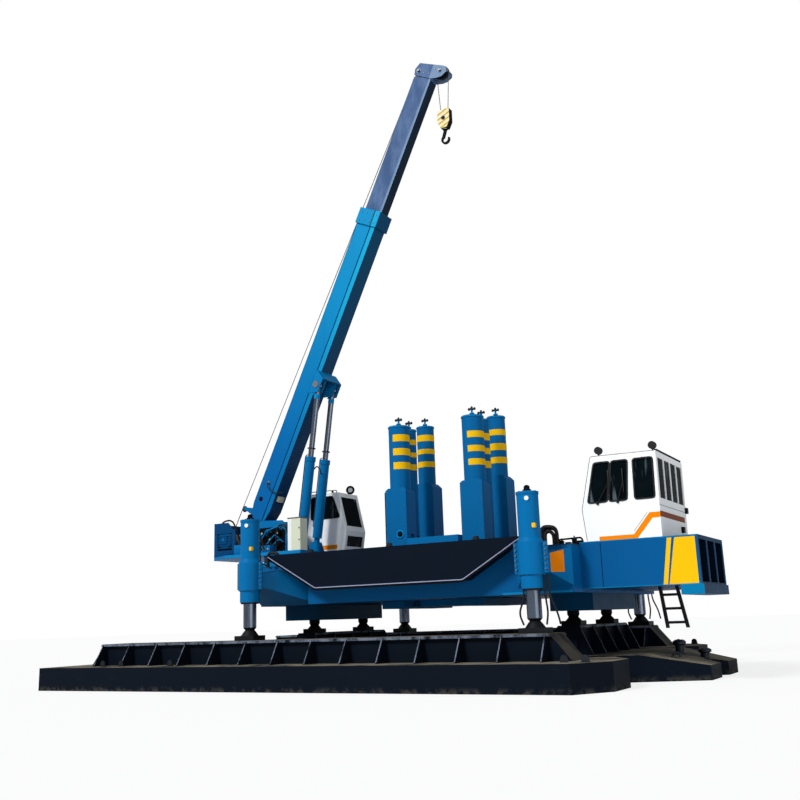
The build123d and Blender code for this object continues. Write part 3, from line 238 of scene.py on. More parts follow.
def boom_place(finish):
    """Distance along the boom from its foot pin, and height square to it towards the boom's back."""
    over_x, over_z = finish.x - BOOM_FOOT[0], finish.z - BOOM_FOOT[1]
    return over_x * BOOM_COS + over_z * BOOM_SIN, over_z * BOOM_COS - over_x * BOOM_SIN


def boom_enamel():
    """Base section: it pales with height as a painted gradient of light, a bright strip along the bent lower
    shell under a dark seam is a painted highlight, and downward faces are darkened as painted shade.
    """
    finish = Finish("boom_enamel")
    along, lift = boom_place(finish)
    # Paler with height: a painted gradient of light
    height = finish.step(along, 1.5, 9.0)
    shade = finish.mix(height, BOOM_LOW, BOOM_HIGH)
    side = finish.step(abs(finish.facing_y), *BEVEL_FACES)
    # Bright strip on the side faces along the bent lower shell: a painted highlight
    strip = side * finish.between(lift, -0.37, -0.19)
    shade = finish.mix(strip * 0.85, shade, finish.mix(height, BLUE, BOOM_HIGHLIGHT))
    seam = side * finish.between(lift, -0.205, -0.165)
    shade = finish.mix(seam * 0.85, shade, BLACK)
    # Downward faces darker: painted shade
    below = finish.step(finish.up * -1.0, *UNDERSIDE_SHADE)
    shade = finish.mix(below * 0.9, shade, screen(0, 50, 84))
    return worn(finish, shade, dirt=0.25)


def tip_enamel():
    """Slate inner section, greased in long streaks; a paler strip low on its side faces is a painted highlight,
    and it is almost black below as painted shade.
    """
    finish = Finish("tip_enamel")
    lift = boom_place(finish)[1]
    streak = finish.noise(1.0, 6.0, 0.7, (2.0, 6.0, 0.8))
    shade = finish.mix(finish.step(streak, 0.35, 0.7), SLATE, SLATE_LIGHT)
    smear = finish.patches(0.55, 0.75, 2.4, 6.0, 0.7)
    shade = finish.mix(smear * 0.45, shade, screen(62, 84, 118))
    # Paler strip low on the side faces: a painted highlight of the bent lower edge
    edge_highlight = finish.step(abs(finish.facing_y), *BEVEL_FACES) * finish.step(lift * -1.0, 0.22, 0.27)
    shade = finish.mix(edge_highlight * 0.5, shade, screen(150, 176, 206))
    # Downward faces almost black: painted shade
    below = finish.step(finish.up * -1.0, *UNDERSIDE_SHADE)
    shade = finish.mix(below * 0.92, shade, screen(2, 20, 34))
    return worn(finish, shade, gloss=0.4, dirt=0.15)


def cab_enamel():
    """White cab paint: an orange stripe steps up along the near side, a brown band and a seam cross the end."""
    finish = Finish("cab_enamel")
    near = (finish.facing_y < -0.5) * (finish.y < CAB_SIDE)
    low = ((finish.x - 6.052) * 1.148 + 3.19 | 3.19) & 3.62
    top = ((finish.x - 5.968) * 1.18 + 3.283 | 3.283) & 3.748
    stripe = near * (finish.z > low) * (finish.z < top) * (finish.x > 5.155)
    line = near * (abs(finish.z - top - 0.06) < 0.012) * finish.between(finish.x, 5.974, 6.312)
    end = (finish.facing_x > 0.5) * (finish.x > 6.5)
    band = end * finish.between(finish.z, 3.64, 3.77) * (finish.y < -0.48)
    seam = end * finish.between(finish.z, 3.895, 3.915)
    crane_side = finish.between(finish.z, 3.76, 3.89) * finish.between(finish.x, -4.86, -4.14)
    trim = ((stripe | crane_side, ORANGE), (band, BROWN), ((line | seam) * 0.8, screen(120, 124, 130)))
    return worn(finish, CAB_WHITE, gloss=0.25, dirt=0.06, grime=screen(196, 202, 208), trim=trim)


def box_enamel():
    """Service box paint: two slanting yellow stripes at its right end; inside its open bays near-black painted
    shade, on its end faces towards +X painted shade, and along its top and bottom rims a painted highlight.
    """
    finish = Finish("box_enamel")
    near = (finish.facing_y < -0.5) * (finish.y < CAB_SIDE) * finish.between(finish.z, 2.125, 3.15)
    lean = finish.x - (finish.z - 2.125) * 0.163
    wide = (finish.x - (finish.z - 2.124) * 0.195 > 6.658) * (finish.x < 7.303)
    yellow = near * (finish.between(lean, 6.527, 6.626) | wide)
    seam = near * (abs(finish.x - 5.16) < 0.008)
    shade = finish.mix(yellow, BOX_BLUE, YELLOW)
    shade = finish.mix(seam, shade, BLACK)
    # Near-black inside the open bays: painted shade of the recesses
    inside = finish.between(finish.x, 6.9, 7.345) * finish.between(finish.y, -2.65, -0.23)
    inside = inside * finish.between(finish.z, 2.12, 3.17)
    shade = finish.mix(inside * 0.95, shade, BLACK)
    # End faces towards +X darker: painted shade
    end_face_shade = (finish.facing_x > 0.5) * (finish.x > 6.85)
    shade = finish.mix(end_face_shade * 0.75, shade, screen(0, 36, 50))
    # Paler blue along the top and bottom rims: a painted highlight
    rims = (finish.y < CAB_SIDE) * ((finish.z > 3.165) | (finish.z < 2.14))
    shade = finish.mix(rims * 0.7, shade, screen(0, 130, 178))
    return worn(finish, shade, dirt=0.25)


def frame_enamel():
    """Platform frame: blue darkened as painted shade under the overhangs, brightening towards the deck."""
    finish = Finish("frame_enamel")
    shade = finish.mix(finish.step(finish.z, 2.0, 3.1) * 0.3, FRAME_SHADE_BLUE, BLUE)
    return worn(finish, shade, dirt=0.4)


def carrier_enamel():
    """Carrier beams: shaded blue over black necks and feet."""
    finish = Finish("carrier_enamel")
    legs = finish.z < 1.648
    return worn(finish, finish.mix(legs, screen(0, 66, 104), BLACK), dirt=0.4)


def outrigger_enamel():
    """Outriggers: an orange patch on the outer end of each right arm's end face."""
    finish = Finish("outrigger_enamel")
    right_end = (finish.facing_x > 0.3) * (finish.x > 4.2)
    patch = right_end * finish.between(finish.y, -3.82, -3.50) * (finish.z > 2.5)
    return worn(finish, finish.mix(patch, BLUE, ORANGE), dirt=0.3)


def pontoon_enamel():
    """Navy-black pontoon paint, scraped in long scratches, with dried mud on the decks whose colour is
    lightened as painted sunlight.
    """
    finish = Finish("pontoon_enamel")
    drift = finish.noise(0.7, 4.0)
    shade = finish.mix(drift * 0.4, NAVY, screen(14, 24, 38))
    scrape = finish.patches(0.62, 0.78, 1.0, 6.0, 0.65, (1.2, 6, 6))
    shade = finish.mix(scrape * 0.16, shade, screen(58, 66, 80))
    from_middle = abs(abs(finish.y) - LONG_Y)
    long_edge = (abs(finish.y) > PONTOON_GAP) * (from_middle > 0.45) * (abs(finish.facing_y) > 0.4)
    short_rib = (abs(finish.y) < PONTOON_GAP) * (abs(abs(finish.x) - SHORT_X) > 0.26)
    short_edge = short_rib * (abs(finish.facing_x) > 0.4)
    rib_edge = (long_edge | short_edge) * finish.between(finish.z, 0.62, 1.29)
    rubbed = finish.patches(0.3, 0.6, 3.5, 5.0, 0.7)
    shade = finish.mix(rib_edge * rubbed * 0.8, shade, PALE_EDGE)
    flat = finish.step(finish.up, 0.5, 0.9)
    # Mud on upward faces, its colour lightened: real mud and painted sunlight
    mud = flat * finish.patches(0.3, 0.62, 1.3, 8.0, 0.62)
    shade = finish.mix(mud * 0.8, shade, MUD_AND_SUNLIGHT)
    splash = finish.step(finish.z * -1.0, -0.16, 0.0) * finish.patches(0.45, 0.6, 5.0, 6.0, 0.6)
    shade = finish.mix(splash * 0.14, shade, MUD_AND_SUNLIGHT)
    rough = 0.46 + drift * 0.2 + mud * 0.35
    grain = finish.bump(finish.noise(14.0, 6.0, 0.65), 0.22, 0.01)
    return finish.set(Base_Color=shade, Roughness=rough, Normal=grain, Specular_IOR_Level=PAINT_SHINE)


TREADS = 9.0


def deck_enamel():
    """Deck plate with raised treads: two slanting waves, TREADS to a metre, of which the higher one shows."""
    finish = Finish("deck_enamel")
    first = abs((finish.x + finish.y) * TREADS % 1.0 - 0.5) > 0.38
    second = abs((finish.x - finish.y) * TREADS % 1.0 - 0.5) > 0.38
    tread = finish.bump(first | second, 0.5, 0.004)
    mud = finish.patches(0.42, 0.68, 0.9, 8.0, 0.6)
    shade = finish.mix(mud * 0.6, DECK_BLUE, screen(58, 62, 62))
    return finish.set(Base_Color=shade, Roughness=0.5 + mud * 0.3, Normal=tread, Specular_IOR_Level=0.15)


def cabinet_enamel():
    """Electric cabinet: off-white, with a grey-green end that is painted shade."""
    finish = Finish("cabinet_enamel")
    # Faces towards +X grey-green: painted shade on the end
    end = finish.step(finish.facing_x, 0.4, 0.6) | (finish.x > -4.52)
    return worn(finish, finish.mix(end, screen(240, 242, 240), screen(216, 222, 200)), dirt=0.12)


def hook_enamel():
    """Hook block: pale cheeks with slanting yellow and dark stripes; its edges, swivel and hook are black."""
    finish = Finish("hook_enamel")
    wave = (finish.z - finish.x * 0.45) * 6.2 % 1.0
    shade = finish.mix(wave < 0.34, screen(236, 228, 204), screen(250, 204, 46))
    shade = finish.mix(finish.between(wave, 0.3, 0.42), shade, screen(44, 34, 30))
    cheek = (abs(finish.facing_y) > 0.5) * (finish.z > 16.06)
    shade = finish.mix(cheek, BLACK, shade)
    return worn(finish, shade, gloss=0.4, dirt=0.2)


def metal(name, colour, rough, grain=(40, 40, 40)):
    """Bare metal with fine scratches and a slight stain."""
    finish = Finish(name)
    stain = finish.noise(3.0, 5.0)
    shade = finish.mix(finish.step(stain, 0.45, 0.75) * 0.5, colour, shaded(colour, 0.55))
    lines = finish.noise(1.0, 3.0, 0.6, grain)
    return finish.set(Base_Color=shade, Metallic=1.0, Roughness=rough + lines * 0.15)


def jack_rod_metal():
    """Chromed rod over a black neck and foot."""
    finish = Finish("jack_rod_metal")
    chromed = finish.step(finish.z, 1.5, 1.51)
    lines = finish.noise(1.0, 3.0, 0.6, (60, 60, 1.5))
    oil = finish.patches(0.45, 0.7, 1.0, 4.0, 0.6, (9, 9, 1.2))
    bright = finish.mix(oil * 0.6, screen(104, 114, 130), screen(46, 52, 62))
    shade = finish.mix(chromed, BLACK, bright)
    rough = 0.5 - chromed * 0.34 + lines * 0.1
    return finish.set(Base_Color=shade, Metallic=chromed, Roughness=rough, Specular_IOR_Level=0.2)


def tinted_glass():
    """Dark tinted pane: a smoky film with faint dust, and paler slanting streaks painted as reflections."""
    finish = Finish("tinted_glass")
    dust = finish.patches(0.4, 0.8, 3.0, 6.0)
    # Paler slanting streaks: painted reflections
    reflection_streaks = finish.patches(0.56, 0.68, 1.0, 3.0, 0.6, (5.0, 2.0, 0.7))
    shade = finish.mix(dust * 0.2, screen(6, 14, 18), screen(30, 40, 44))
    shade = finish.mix(reflection_streaks * 0.55, shade, screen(104, 120, 130))
    rough = 0.06 + dust * 0.08
    return finish.set(Base_Color=shade, Roughness=rough, Alpha=0.97, Specular_IOR_Level=0.1, IOR=1.15)


def moulded(name, colour, rough=0.6):
    """Moulded plastic or rubber with a fine grain."""
    finish = Finish(name)
    shade = finish.mix(finish.noise(4.0, 4.0) * 0.4, colour, shaded(colour, 1.7))
    grain = finish.bump(finish.noise(160.0, 2.0), 0.12, 0.002)
    return finish.set(Base_Color=shade, Roughness=rough, Normal=grain, Specular_IOR_Level=0.25)


def lamp_lens():
    """Fluted clear lens over a bright reflector."""
    finish = Finish("lamp_lens")
    flute = finish.bump(abs((finish.x * 60.0) % 1.0 - 0.5), 0.5, 0.002)
    return finish.set(Base_Color=screen(214, 218, 220), Roughness=0.12, Metallic=0.6, Normal=flute)


# Places and half widths of the CAD at rest: pairs are (x, z), but JACK is (x, y) and TUBES are (y, radius, top)

BOOM_ANGLE = math.radians(64.2)
BOOM_COS, BOOM_SIN = math.cos(BOOM_ANGLE), math.sin(BOOM_ANGLE)
BOOM_FOOT = (-6.48, 4.48)
CRANE_Y = -0.5
BOOM_HALF = 0.286
JACK = (3.98, 4.08)
JACK_TOP = 4.301
LONG_Y = 4.08
LONG_EDGE = 5.552
SHORT_X = 3.87
TOWER_X = 1.175
TUBES = ((-0.81, 0.30, 7.0), (-0.2, 0.20, 7.0), (0.81, 0.26, 7.25))
TABLE_TOP = 3.65
SLEW_X = -5.35
DRUM = (-7.42, CRANE_Y, 4.18)
LUFF_FOOT = np.array([-4.6, CRANE_Y, 3.85])
LUFF_EYE = np.array([-3.915, CRANE_Y, 8.660])
LUFF_SIDE = 0.385
FRONT_SHEAVE = np.array([0.630, CRANE_Y, 17.970])
REAR_SHEAVE = np.array([-0.0895, CRANE_Y, 18.200])
HEAD_SIDE = 0.211
HOOK_PIN = FRONT_SHEAVE * (1, 1, 0) + (0, 0, 16.40)

# Finishes of the added pieces, of the record's slots, and of nodes that have their own

BLUE_PAINT = enamel("blue_enamel", BLUE)
BRIGHT_BLUE = enamel("bright_blue_enamel", screen(6, 128, 190), dirt=0.2)
TOWER_PAINT = enamel("tower_enamel", screen(0, 98, 156), dirt=0.25)
TANK_PAINT = enamel("tank_enamel", TANK_NAVY, dirt=0.2)
LADDER_PAINT = enamel("ladder_enamel", screen(34, 36, 40), dirt=0.3)
EDGE_PAINT = enamel("scraped_edge", PALE_EDGE, dirt=0.5)
# Pale lilac, used for the painted highlight along the tanks' edges
EDGE_HIGHLIGHT_PAINT = enamel("lilac_edge_highlight", LILAC, dirt=0.2)
YELLOW_PAINT = enamel("yellow_enamel", YELLOW, dirt=0.2)
WHITE_PAINT = enamel("white_enamel", CAB_WHITE, dirt=0.08, grime=screen(170, 178, 184))
BLACK_PAINT = enamel("black_enamel", BLACK, dirt=0.3)
BEIGE_PAINT = enamel("beige_enamel", screen(200, 198, 176), dirt=0.3)
CHROME = metal("rod_chrome", screen(112, 120, 134), 0.14)
BOLT_STEEL = metal("bolt_steel", screen(104, 110, 118), 0.42)
ROPE_STEEL = metal("rope_steel", screen(120, 118, 112), 0.5)
DARK_STEEL = metal("dark_steel", screen(52, 56, 62), 0.45)
GLASS = tinted_glass()
LENS = lamp_lens()
INTERIOR = moulded("interior_plastic", screen(34, 35, 38))
BLACK_RUBBER = moulded("black_rubber", RUBBER)

SLOT_FINISHES = {
    "blue_paint": BLUE_PAINT, "tower_paint": TOWER_PAINT, "tip_paint": tip_enamel(),
    "deck_paint": deck_enamel(), "tank_paint": TANK_PAINT, "pontoon_paint": pontoon_enamel(),
    "cab_paint": cab_enamel(), "cabinet_paint": cabinet_enamel(), "ladder_paint": LADDER_PAINT,
    "hook_paint": hook_enamel(), "cab_glass": GLASS, "interior_plastic": INTERIOR,
    "lamp_plastic": BLACK_RUBBER, "rod_chrome": CHROME, "jaw_steel": DARK_STEEL, "rope_steel": ROPE_STEEL}
NODE_FINISHES = {
    "boom_base": boom_enamel(), "near_service_box": box_enamel(), "far_service_box": box_enamel(),
    "main_frame": frame_enamel(), "outriggers": outrigger_enamel(), "near_jack_rods": jack_rod_metal(),
    "far_jack_rods": jack_rod_metal(), "winch_frame": enamel("winch_enamel", screen(0, 64, 110), dirt=0.4)}
NODE_FINISHES["right_carrier_beam"] = NODE_FINISHES["left_carrier_beam"] = carrier_enamel()
for subpart in frame["record"]["subparts"]:
    node = frame["nodes"][subpart["node"]]
    node.data.materials.clear()
    node.data.materials.append(NODE_FINISHES.get(subpart["node"], SLOT_FINISHES[subpart["material_slot"]]))


# Shells: each is an array of points and a list of faces, worked out as whole arrays

def unit(vectors):
    """Vectors divided by their own lengths."""
    vectors = np.asarray(vectors, float)
    return vectors / np.linalg.norm(vectors, axis=-1, keepdims=True)


def stack(rings, loop=False):
    """Skin over rings[i, j]: each face joins points j and j + 1 of ring i to those of ring i + 1. The end rings
    are faces too, or the last ring joins the first. All faces turn round where the volume under them, summed as
    tetrahedra from the middle, is negative."""
    rings = np.asarray(rings, float)
    count, sides = rings.shape[:2]
    i, j = np.meshgrid(np.arange(count if loop else count - 1), np.arange(sides), indexing="ij")
    onward, beside = (i + 1) % count, (j + 1) % sides
    quads = np.stack([i * sides + j, i * sides + beside, onward * sides + beside, onward * sides + j], -1)
    quads = quads.reshape(-1, 4)
    points = rings.reshape(-1, 3)
    ends = [] if loop else [np.arange(sides)[::-1], np.arange((count - 1) * sides, count * sides)]
    arms = points - points.mean(0)
    a, b, c, d = (arms[quads[:, k]] for k in range(4))
    volume = np.sum(a * np.cross(b, c)) + np.sum(a * np.cross(c, d))
    volume += sum(np.sum(arms[end[:1]] * np.cross(arms[end[1:-1]], arms[end[2:]])) for end in ends)
    faces = quads.tolist() + [end.tolist() for end in ends]
    return points, faces if volume > 0 else [face[::-1] for face in faces]


def wheel(axis, sides):
    """Unit directions square to the axis: across cos t + over sin t, t from 0 to a full turn."""
    axis = unit(axis)
    across = unit(np.cross(axis, np.eye(3)[np.argmin(np.abs(axis))]))
    turn = np.linspace(0, 2 * np.pi, sides, endpoint=False)
    return np.outer(np.cos(turn), across) + np.outer(np.sin(turn), np.cross(axis, across))


def turned(profile, centre, axis=(0, 0, 1), sides=24, loop=False):
    """Profile of (distance, radius) turned round the axis: centre + distance axis + radius wheel."""
    profile = np.asarray(profile, float)
    rings = profile[:, 0, None, None] * unit(axis) + profile[:, 1, None, None] * wheel(axis, sides)
    return stack(np.asarray(centre, float) + rings, loop)


def ring(centre, axis, major, minor, sides=32):
    """Round bar bent to a ring: distance minor sin s, radius major + minor cos s, turned round the axis."""
    turn = np.linspace(0, 2 * np.pi, 10, endpoint=False)
    return turned(np.stack([minor * np.sin(turn), major + minor * np.cos(turn)], -1), centre, axis, sides, True)


def disc(centre, axis, radius, height, sides=24, bevel=0.004):
    """Round plate with eased rims."""
    rims = [(0, radius), (height - bevel, radius), (height, radius - bevel)]
    return turned(rims, centre, axis, sides)


def band(centre, radius, low, high, start=0.0, end=360.0, thick=0.006):
    """Strip round an upright tube: a four-cornered section at each angle from start to end."""
    full = end - start >= 360
    turn = np.radians(np.linspace(start, end, 49))[:-1 if full else None]
    out = np.stack([np.cos(turn), np.sin(turn), 0 * turn], -1)[:, None]
    reach = np.array([0.0005, thick, thick, 0.0005])[None, :, None] + radius
    height = np.array([low, low, high, high])[None, :, None] * np.array([0, 0, 1.0])
    return stack(np.asarray(centre, float) + out * reach + height, full)


def carried(path, section, loop=False):
    """Section offsets section[i, j] = (across, over) carried along the path, square to its tangent; across is
    square to the axis that the path leans on least."""
    path = np.asarray(path, float)
    ahead = np.roll(path, -1, 0) - np.roll(path, 1, 0) if loop else np.gradient(path, axis=0)
    ahead = unit(ahead)
    across = unit(np.cross(ahead, np.eye(3)[np.argmin(np.abs(ahead).max(0))]))
    over = np.cross(across, ahead)
    section = np.broadcast_to(section, (len(path),) + np.shape(section)[-2:])
    return stack(path[:, None] + section[..., :1] * across[:, None] + section[..., 1:] * over[:, None], loop)


def tube(path, radius, sides=12, loop=False):
    """Circle radius (cos t, sin t) carried along the path."""
    turn = np.linspace(0, 2 * np.pi, sides, endpoint=False)
    return carried(path, radius * np.stack([np.cos(turn), np.sin(turn)], -1), loop)


def strip(path, wide, deep, loop=False):
    """Flat bar carried along the path, wide across and deep over."""
    section = np.array([(-wide, -deep), (wide, -deep), (wide, deep), (-wide, deep)]) / 2
    return carried(path, section, loop)


def rope(start, end, radius, lay=0.13, strands=6):
    """Straight laid rope: its radius at distance s, angle t is r (0.9 + 0.1 cos(strands t - 2 pi s / lay))."""
    start, end = np.asarray(start, float), np.asarray(end, float)
    length = np.linalg.norm(end - start)
    run = np.linspace(0, length, max(8, int(length / lay * 4)))
    turn = np.linspace(0, 2 * np.pi, 12, endpoint=False)
    swell = radius * (0.9 + 0.1 * np.cos(strands * turn[None] - 2 * np.pi * run[:, None] / lay))
    section = swell[..., None] * np.stack([np.cos(turn), np.sin(turn)], -1)[None]
    return carried(start + np.outer(run / length, end - start), section)


def slab(outline, travel, bevel=0.004):
    """Flat outline carried along the travel; both faces are drawn in towards the middle by the bevel."""
    outline, travel = np.asarray(outline, float), np.asarray(travel, float)
    arms = outline - outline.mean(0)
    drawn = outline - bevel * unit(arms)
    slip = bevel * unit(travel)
    return stack([drawn, outline + slip, outline + travel - slip, drawn + travel])


def box(low, high, bevel=0.006):
    """Box between two corners with eased ends."""
    (x0, y0, z0), (x1, y1, z1) = low, high
    return slab([(x0, y0, z0), (x1, y0, z0), (x1, y1, z0), (x0, y1, z0)], (0, 0, z1 - z0), bevel)


def eased(corners, radius, closed=False, steps=6):
    """Path whose corners p follow (1-t)^2 a + 2t(1-t) p + t^2 b, a and b at the radius before and after p."""
    corners = np.asarray(corners, float)
    a = corners + radius * unit(np.roll(corners, 1, 0) - corners)
    b = corners + radius * unit(np.roll(corners, -1, 0) - corners)
    t = np.linspace(0, 1, steps)[None, :, None]
    curves = (1 - t) ** 2 * a[:, None] + 2 * t * (1 - t) * corners[:, None] + t ** 2 * b[:, None]
    if closed:
        return curves.reshape(-1, 3)
    return np.concatenate([corners[:1], curves[1:-1].reshape(-1, 3), corners[-1:]])


def copies(shell, places):
    """The shell repeated with each place added to its points."""
    points, faces = shell
    places = np.asarray(places, float)
    moved = (points[None] + places[:, None]).reshape(-1, 3)
    return moved, [[i + k * len(points) for i in face] for k in range(len(places)) for face in faces]


def upright(y, outline):
    """Points (x, z) of an outline, all at one y."""
    return [(x, y, z) for x, z in outline]


def stud(centre, axis, radius, height, crown, sides=12, reach=0.0):
    """Stub that narrows to the crown in its last centimetre, and goes on to the reach at that width."""
    profile = [(0, radius), (height, radius), (height + 0.01, crown)] + ([(reach, crown)] if reach else [])
    return turned(profile, centre, axis, sides)


def bolts(places, axis, across=0.03, height=0.022):
    """Hexagon heads with eased crowns at the places."""
    head = turned([(0, across), (height * 0.8, across), (height, across * 0.82)], (0, 0, 0), axis, 6)
    return copies(head, places)


SHARP_FROM = math.radians(35)


def piece(name, body, finish, *shells):
    """One mesh of all the shells, smooth but for edges over SHARP_FROM; it rides a body if one is given."""
    starts = np.cumsum([0] + [len(points) for points, _ in shells])
    faces = [[i + start for i in face] for start, (_, part) in zip(starts.tolist(), shells) for face in part]
    mesh = bpy.data.meshes.new(name)
    mesh.from_pydata(np.concatenate([points for points, _ in shells]).tolist(), [], faces)
    mesh.polygons.foreach_set("use_smooth", [True] * len(mesh.polygons))
    mesh.set_sharp_from_angle(angle=SHARP_FROM)
    mesh.materials.append(finish)
    made = bpy.data.objects.new(name, mesh)
    bpy.context.scene.collection.objects.link(made)
    if body:
        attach(made, body)
    return made


def on_boom(along, up, y=CRANE_Y):
    """Point given along the boom from its foot pin and square to it, up towards its back."""
    x = BOOM_FOOT[0] + along * BOOM_COS - up * BOOM_SIN
    return np.array([x, y, BOOM_FOOT[1] + along * BOOM_SIN + up * BOOM_COS])


def boom_block(start, end, low, high, near, wide):
    """Block between two places along the boom and two heights over it, from the near side as wide as given."""
    corners = [on_boom(along, up, near) for along, up in ((start, low), (end, low), (end, high), (start, high))]
    return slab(corners, (0, wide, 0))


# Pressing tubes: yellow bands, caps and valve crosses

BANDS = {
    (-1, 0): ((6.53, 6.73), (6.13, 6.33), (5.73, 5.93)), (1, 0): ((6.36, 6.54), (5.97, 6.14), (5.60, 5.77)),
    (-1, 1): ((6.53, 6.68), (6.16, 6.30), (5.78, 5.95)), (1, 1): ((6.38, 6.58), (5.99, 6.16), (5.60, 5.79)),
    (-1, 2): ((6.78, 6.97), (6.39, 6.54), (5.99, 6.16)), (1, 2): ((6.67, 6.84), (6.23, 6.43), (5.85, 6.03))}
band_shells, crown_shells, cross_shells, ring_shells = [], [], [], []
for side in (-1, 1):
    for row, (y, radius, top) in enumerate(TUBES):
        centre = (side * TOWER_X, y, 0)
        cross = np.array([side * TOWER_X, y, top + 0.205])
        span = (-97, 97) if row == 0 else (0, 360)
        band_shells += [band(centre, radius, low, high, *span) for low, high in BANDS[side, row]]
        crown_shells.append(turned([(0, 0.07), (0.03, 0.07), (0.04, 0.03), (0.13, 0.03), (0.14, 0.022)],
                                   (side * TOWER_X, y, top + 0.061), sides=16))
        cross_shells += [
            tube([cross - (0.085, 0, 0), cross + (0.085, 0, 0)], 0.026),
            tube([cross - (0, 0.08, 0), cross + (0, 0.08, 0)], 0.022),
            turned([(-0.02, 0.04), (0.02, 0.04)], cross - (0.085, 0, 0), (1, 0, 0), 6),
            turned([(-0.02, 0.04), (0.02, 0.04)], cross + (0.085, 0, 0), (1, 0, 0), 6),
            stud(cross + (0, 0, 0.015), (0, 0, 1), 0.03, 0.05, 0.018)]
        ring_shells.append(turned([(0, radius), (0, radius + 0.018), (0.03, radius + 0.018), (0.03, radius)],
                                  (side * TOWER_X, y, top - 0.05), sides=48, loop=True))
piece("tube_bands", "platform", YELLOW_PAINT, *band_shells)
piece("tube_crowns", "platform", BRIGHT_BLUE, *crown_shells)
piece("tube_valve_crosses", "platform", DARK_STEEL, *cross_shells)
piece("tube_rim_rings", "platform", BRIGHT_BLUE, *ring_shells)

# Tower housings: front plates, inspection port, rail, bolts

PLATE_FACE = -1.118
PLATE_BACK = -1.05
plate = np.array(upright(PLATE_BACK, [(-0.335, 3.32), (0.335, 3.32), (0.335, 5.14), (0.25, 5.20), (-0.25, 5.20),
                                      (-0.335, 5.14)]))
piece("housing_front_plates", "platform", TOWER_PAINT, *[
    slab(plate + (side * TOWER_X, 0, 0), (0, PLATE_FACE - PLATE_BACK, 0), 0.012) for side in (-1, 1)])
piece("port_ring", "platform", BRIGHT_BLUE, ring((-1.06, PLATE_FACE - 0.004, 3.89), (0, 1, 0), 0.10, 0.022))
piece("port_cover", "platform", BLACK_PAINT, disc((-1.06, PLATE_FACE, 3.89), (0, -1, 0), 0.085, 0.008))
piece("housing_rail", "platform", BLACK_PAINT, box((-1.545, -1.10, 3.62), (-1.43, -1.052, 5.10)),
      box((-1.53, -1.06, 3.75), (-1.50, -0.98, 3.80)), box((-1.53, -1.06, 4.90), (-1.50, -0.98, 4.95)))
seam_heights = np.arange(3.45, 5.1, 0.41)
piece("housing_bolts", "platform", BOLT_STEEL, bolts(
    [(x, PLATE_FACE, z) for x in (0.90, 1.45, -0.90, -1.45) for z in seam_heights], (0, -1, 0), 0.012, 0.010))

# Jacks, each as x, y and the side it is on: nuts, wiper rings, bolts, knobs, caps, valves, ports, pipes

NUT_HEIGHTS = np.linspace(2.56, 3.10, 6)
jacks = [(x * JACK[0], side * JACK[1], side) for x in (-1, 1) for side in (-1, 1)]
piece("jack_flange_nuts", "platform", BOLT_STEEL, *[
    bolts([(x + dx, y + s * 0.031, z) for dx in (-0.355, 0.355) for z in NUT_HEIGHTS], (0, s, 0), 0.028, 0.03)
    for x, y, _ in jacks for s in (-1, 1)])
piece("jack_wiper_rings", "platform", BLACK_RUBBER, *[
    turned([(0, 0.178), (0, 0.235), (0.035, 0.245), (0.035, 0.178)], (x, y, 2.105), sides=40, loop=True)
    for x, y, _ in jacks])
piece("jack_collar_bolts", "platform", BOLT_STEEL, *[
    bolts(np.array([x, y, 2.449]) + 0.279 * wheel((0, 0, 1), 12), (0, 0, -1), 0.014, 0.014)
    for x, y, _ in jacks])
knob = [(0, 0.10), (0.05, 0.10), (0.07, 0.07), (0.12, 0.07), (0.15, 0.045), (0.16, 0.02)]
piece("jack_top_knobs", "platform", BLACK_PAINT, *[
    turned(knob, (x, y, JACK_TOP), sides=20) for x, y, _ in jacks])
piece("jack_top_bolts", "platform", BOLT_STEEL, *[
    bolts(np.array([x, y, JACK_TOP]) + 0.2 * wheel((0, 0, 1), 8), (0, 0, 1), 0.02, 0.02)
    for x, y, _ in jacks])
near_jacks = [(x, y) for x, y, side in jacks if side < 0]
piece("jack_white_caps", "platform", WHITE_PAINT, *[
    disc((x + 0.072, y - 0.235, 4.133), (0.28, -0.96, 0), 0.05, 0.035) for x, y in near_jacks])
piece("jack_valves", "platform", YELLOW_PAINT, *[
    box((x + 0.16, y - 0.24, 3.47), (x + 0.235, y - 0.16, 3.57)) for x, y in near_jacks])
piece("jack_ports", "platform", DARK_STEEL, *[
    stud((x, y - s * 0.245, z), (0, -s, 0), 0.035, 0.05, 0.026, reach=0.09)
    for x, y, s in jacks for z in (3.42, 4.02)])
piece("jack_pipes", "platform", DARK_STEEL, *[
    tube(eased([(x, y - s * 0.33, 4.02), (x, y - s * 0.40, 4.02), (x + 0.02, y - s * 0.42, 3.2),
                (x + 0.02, y - s * 0.9, 3.05)], 0.05), 0.016)
    for x, y, s in jacks])

# Hoses of the platform's deck and of the jacks' feet

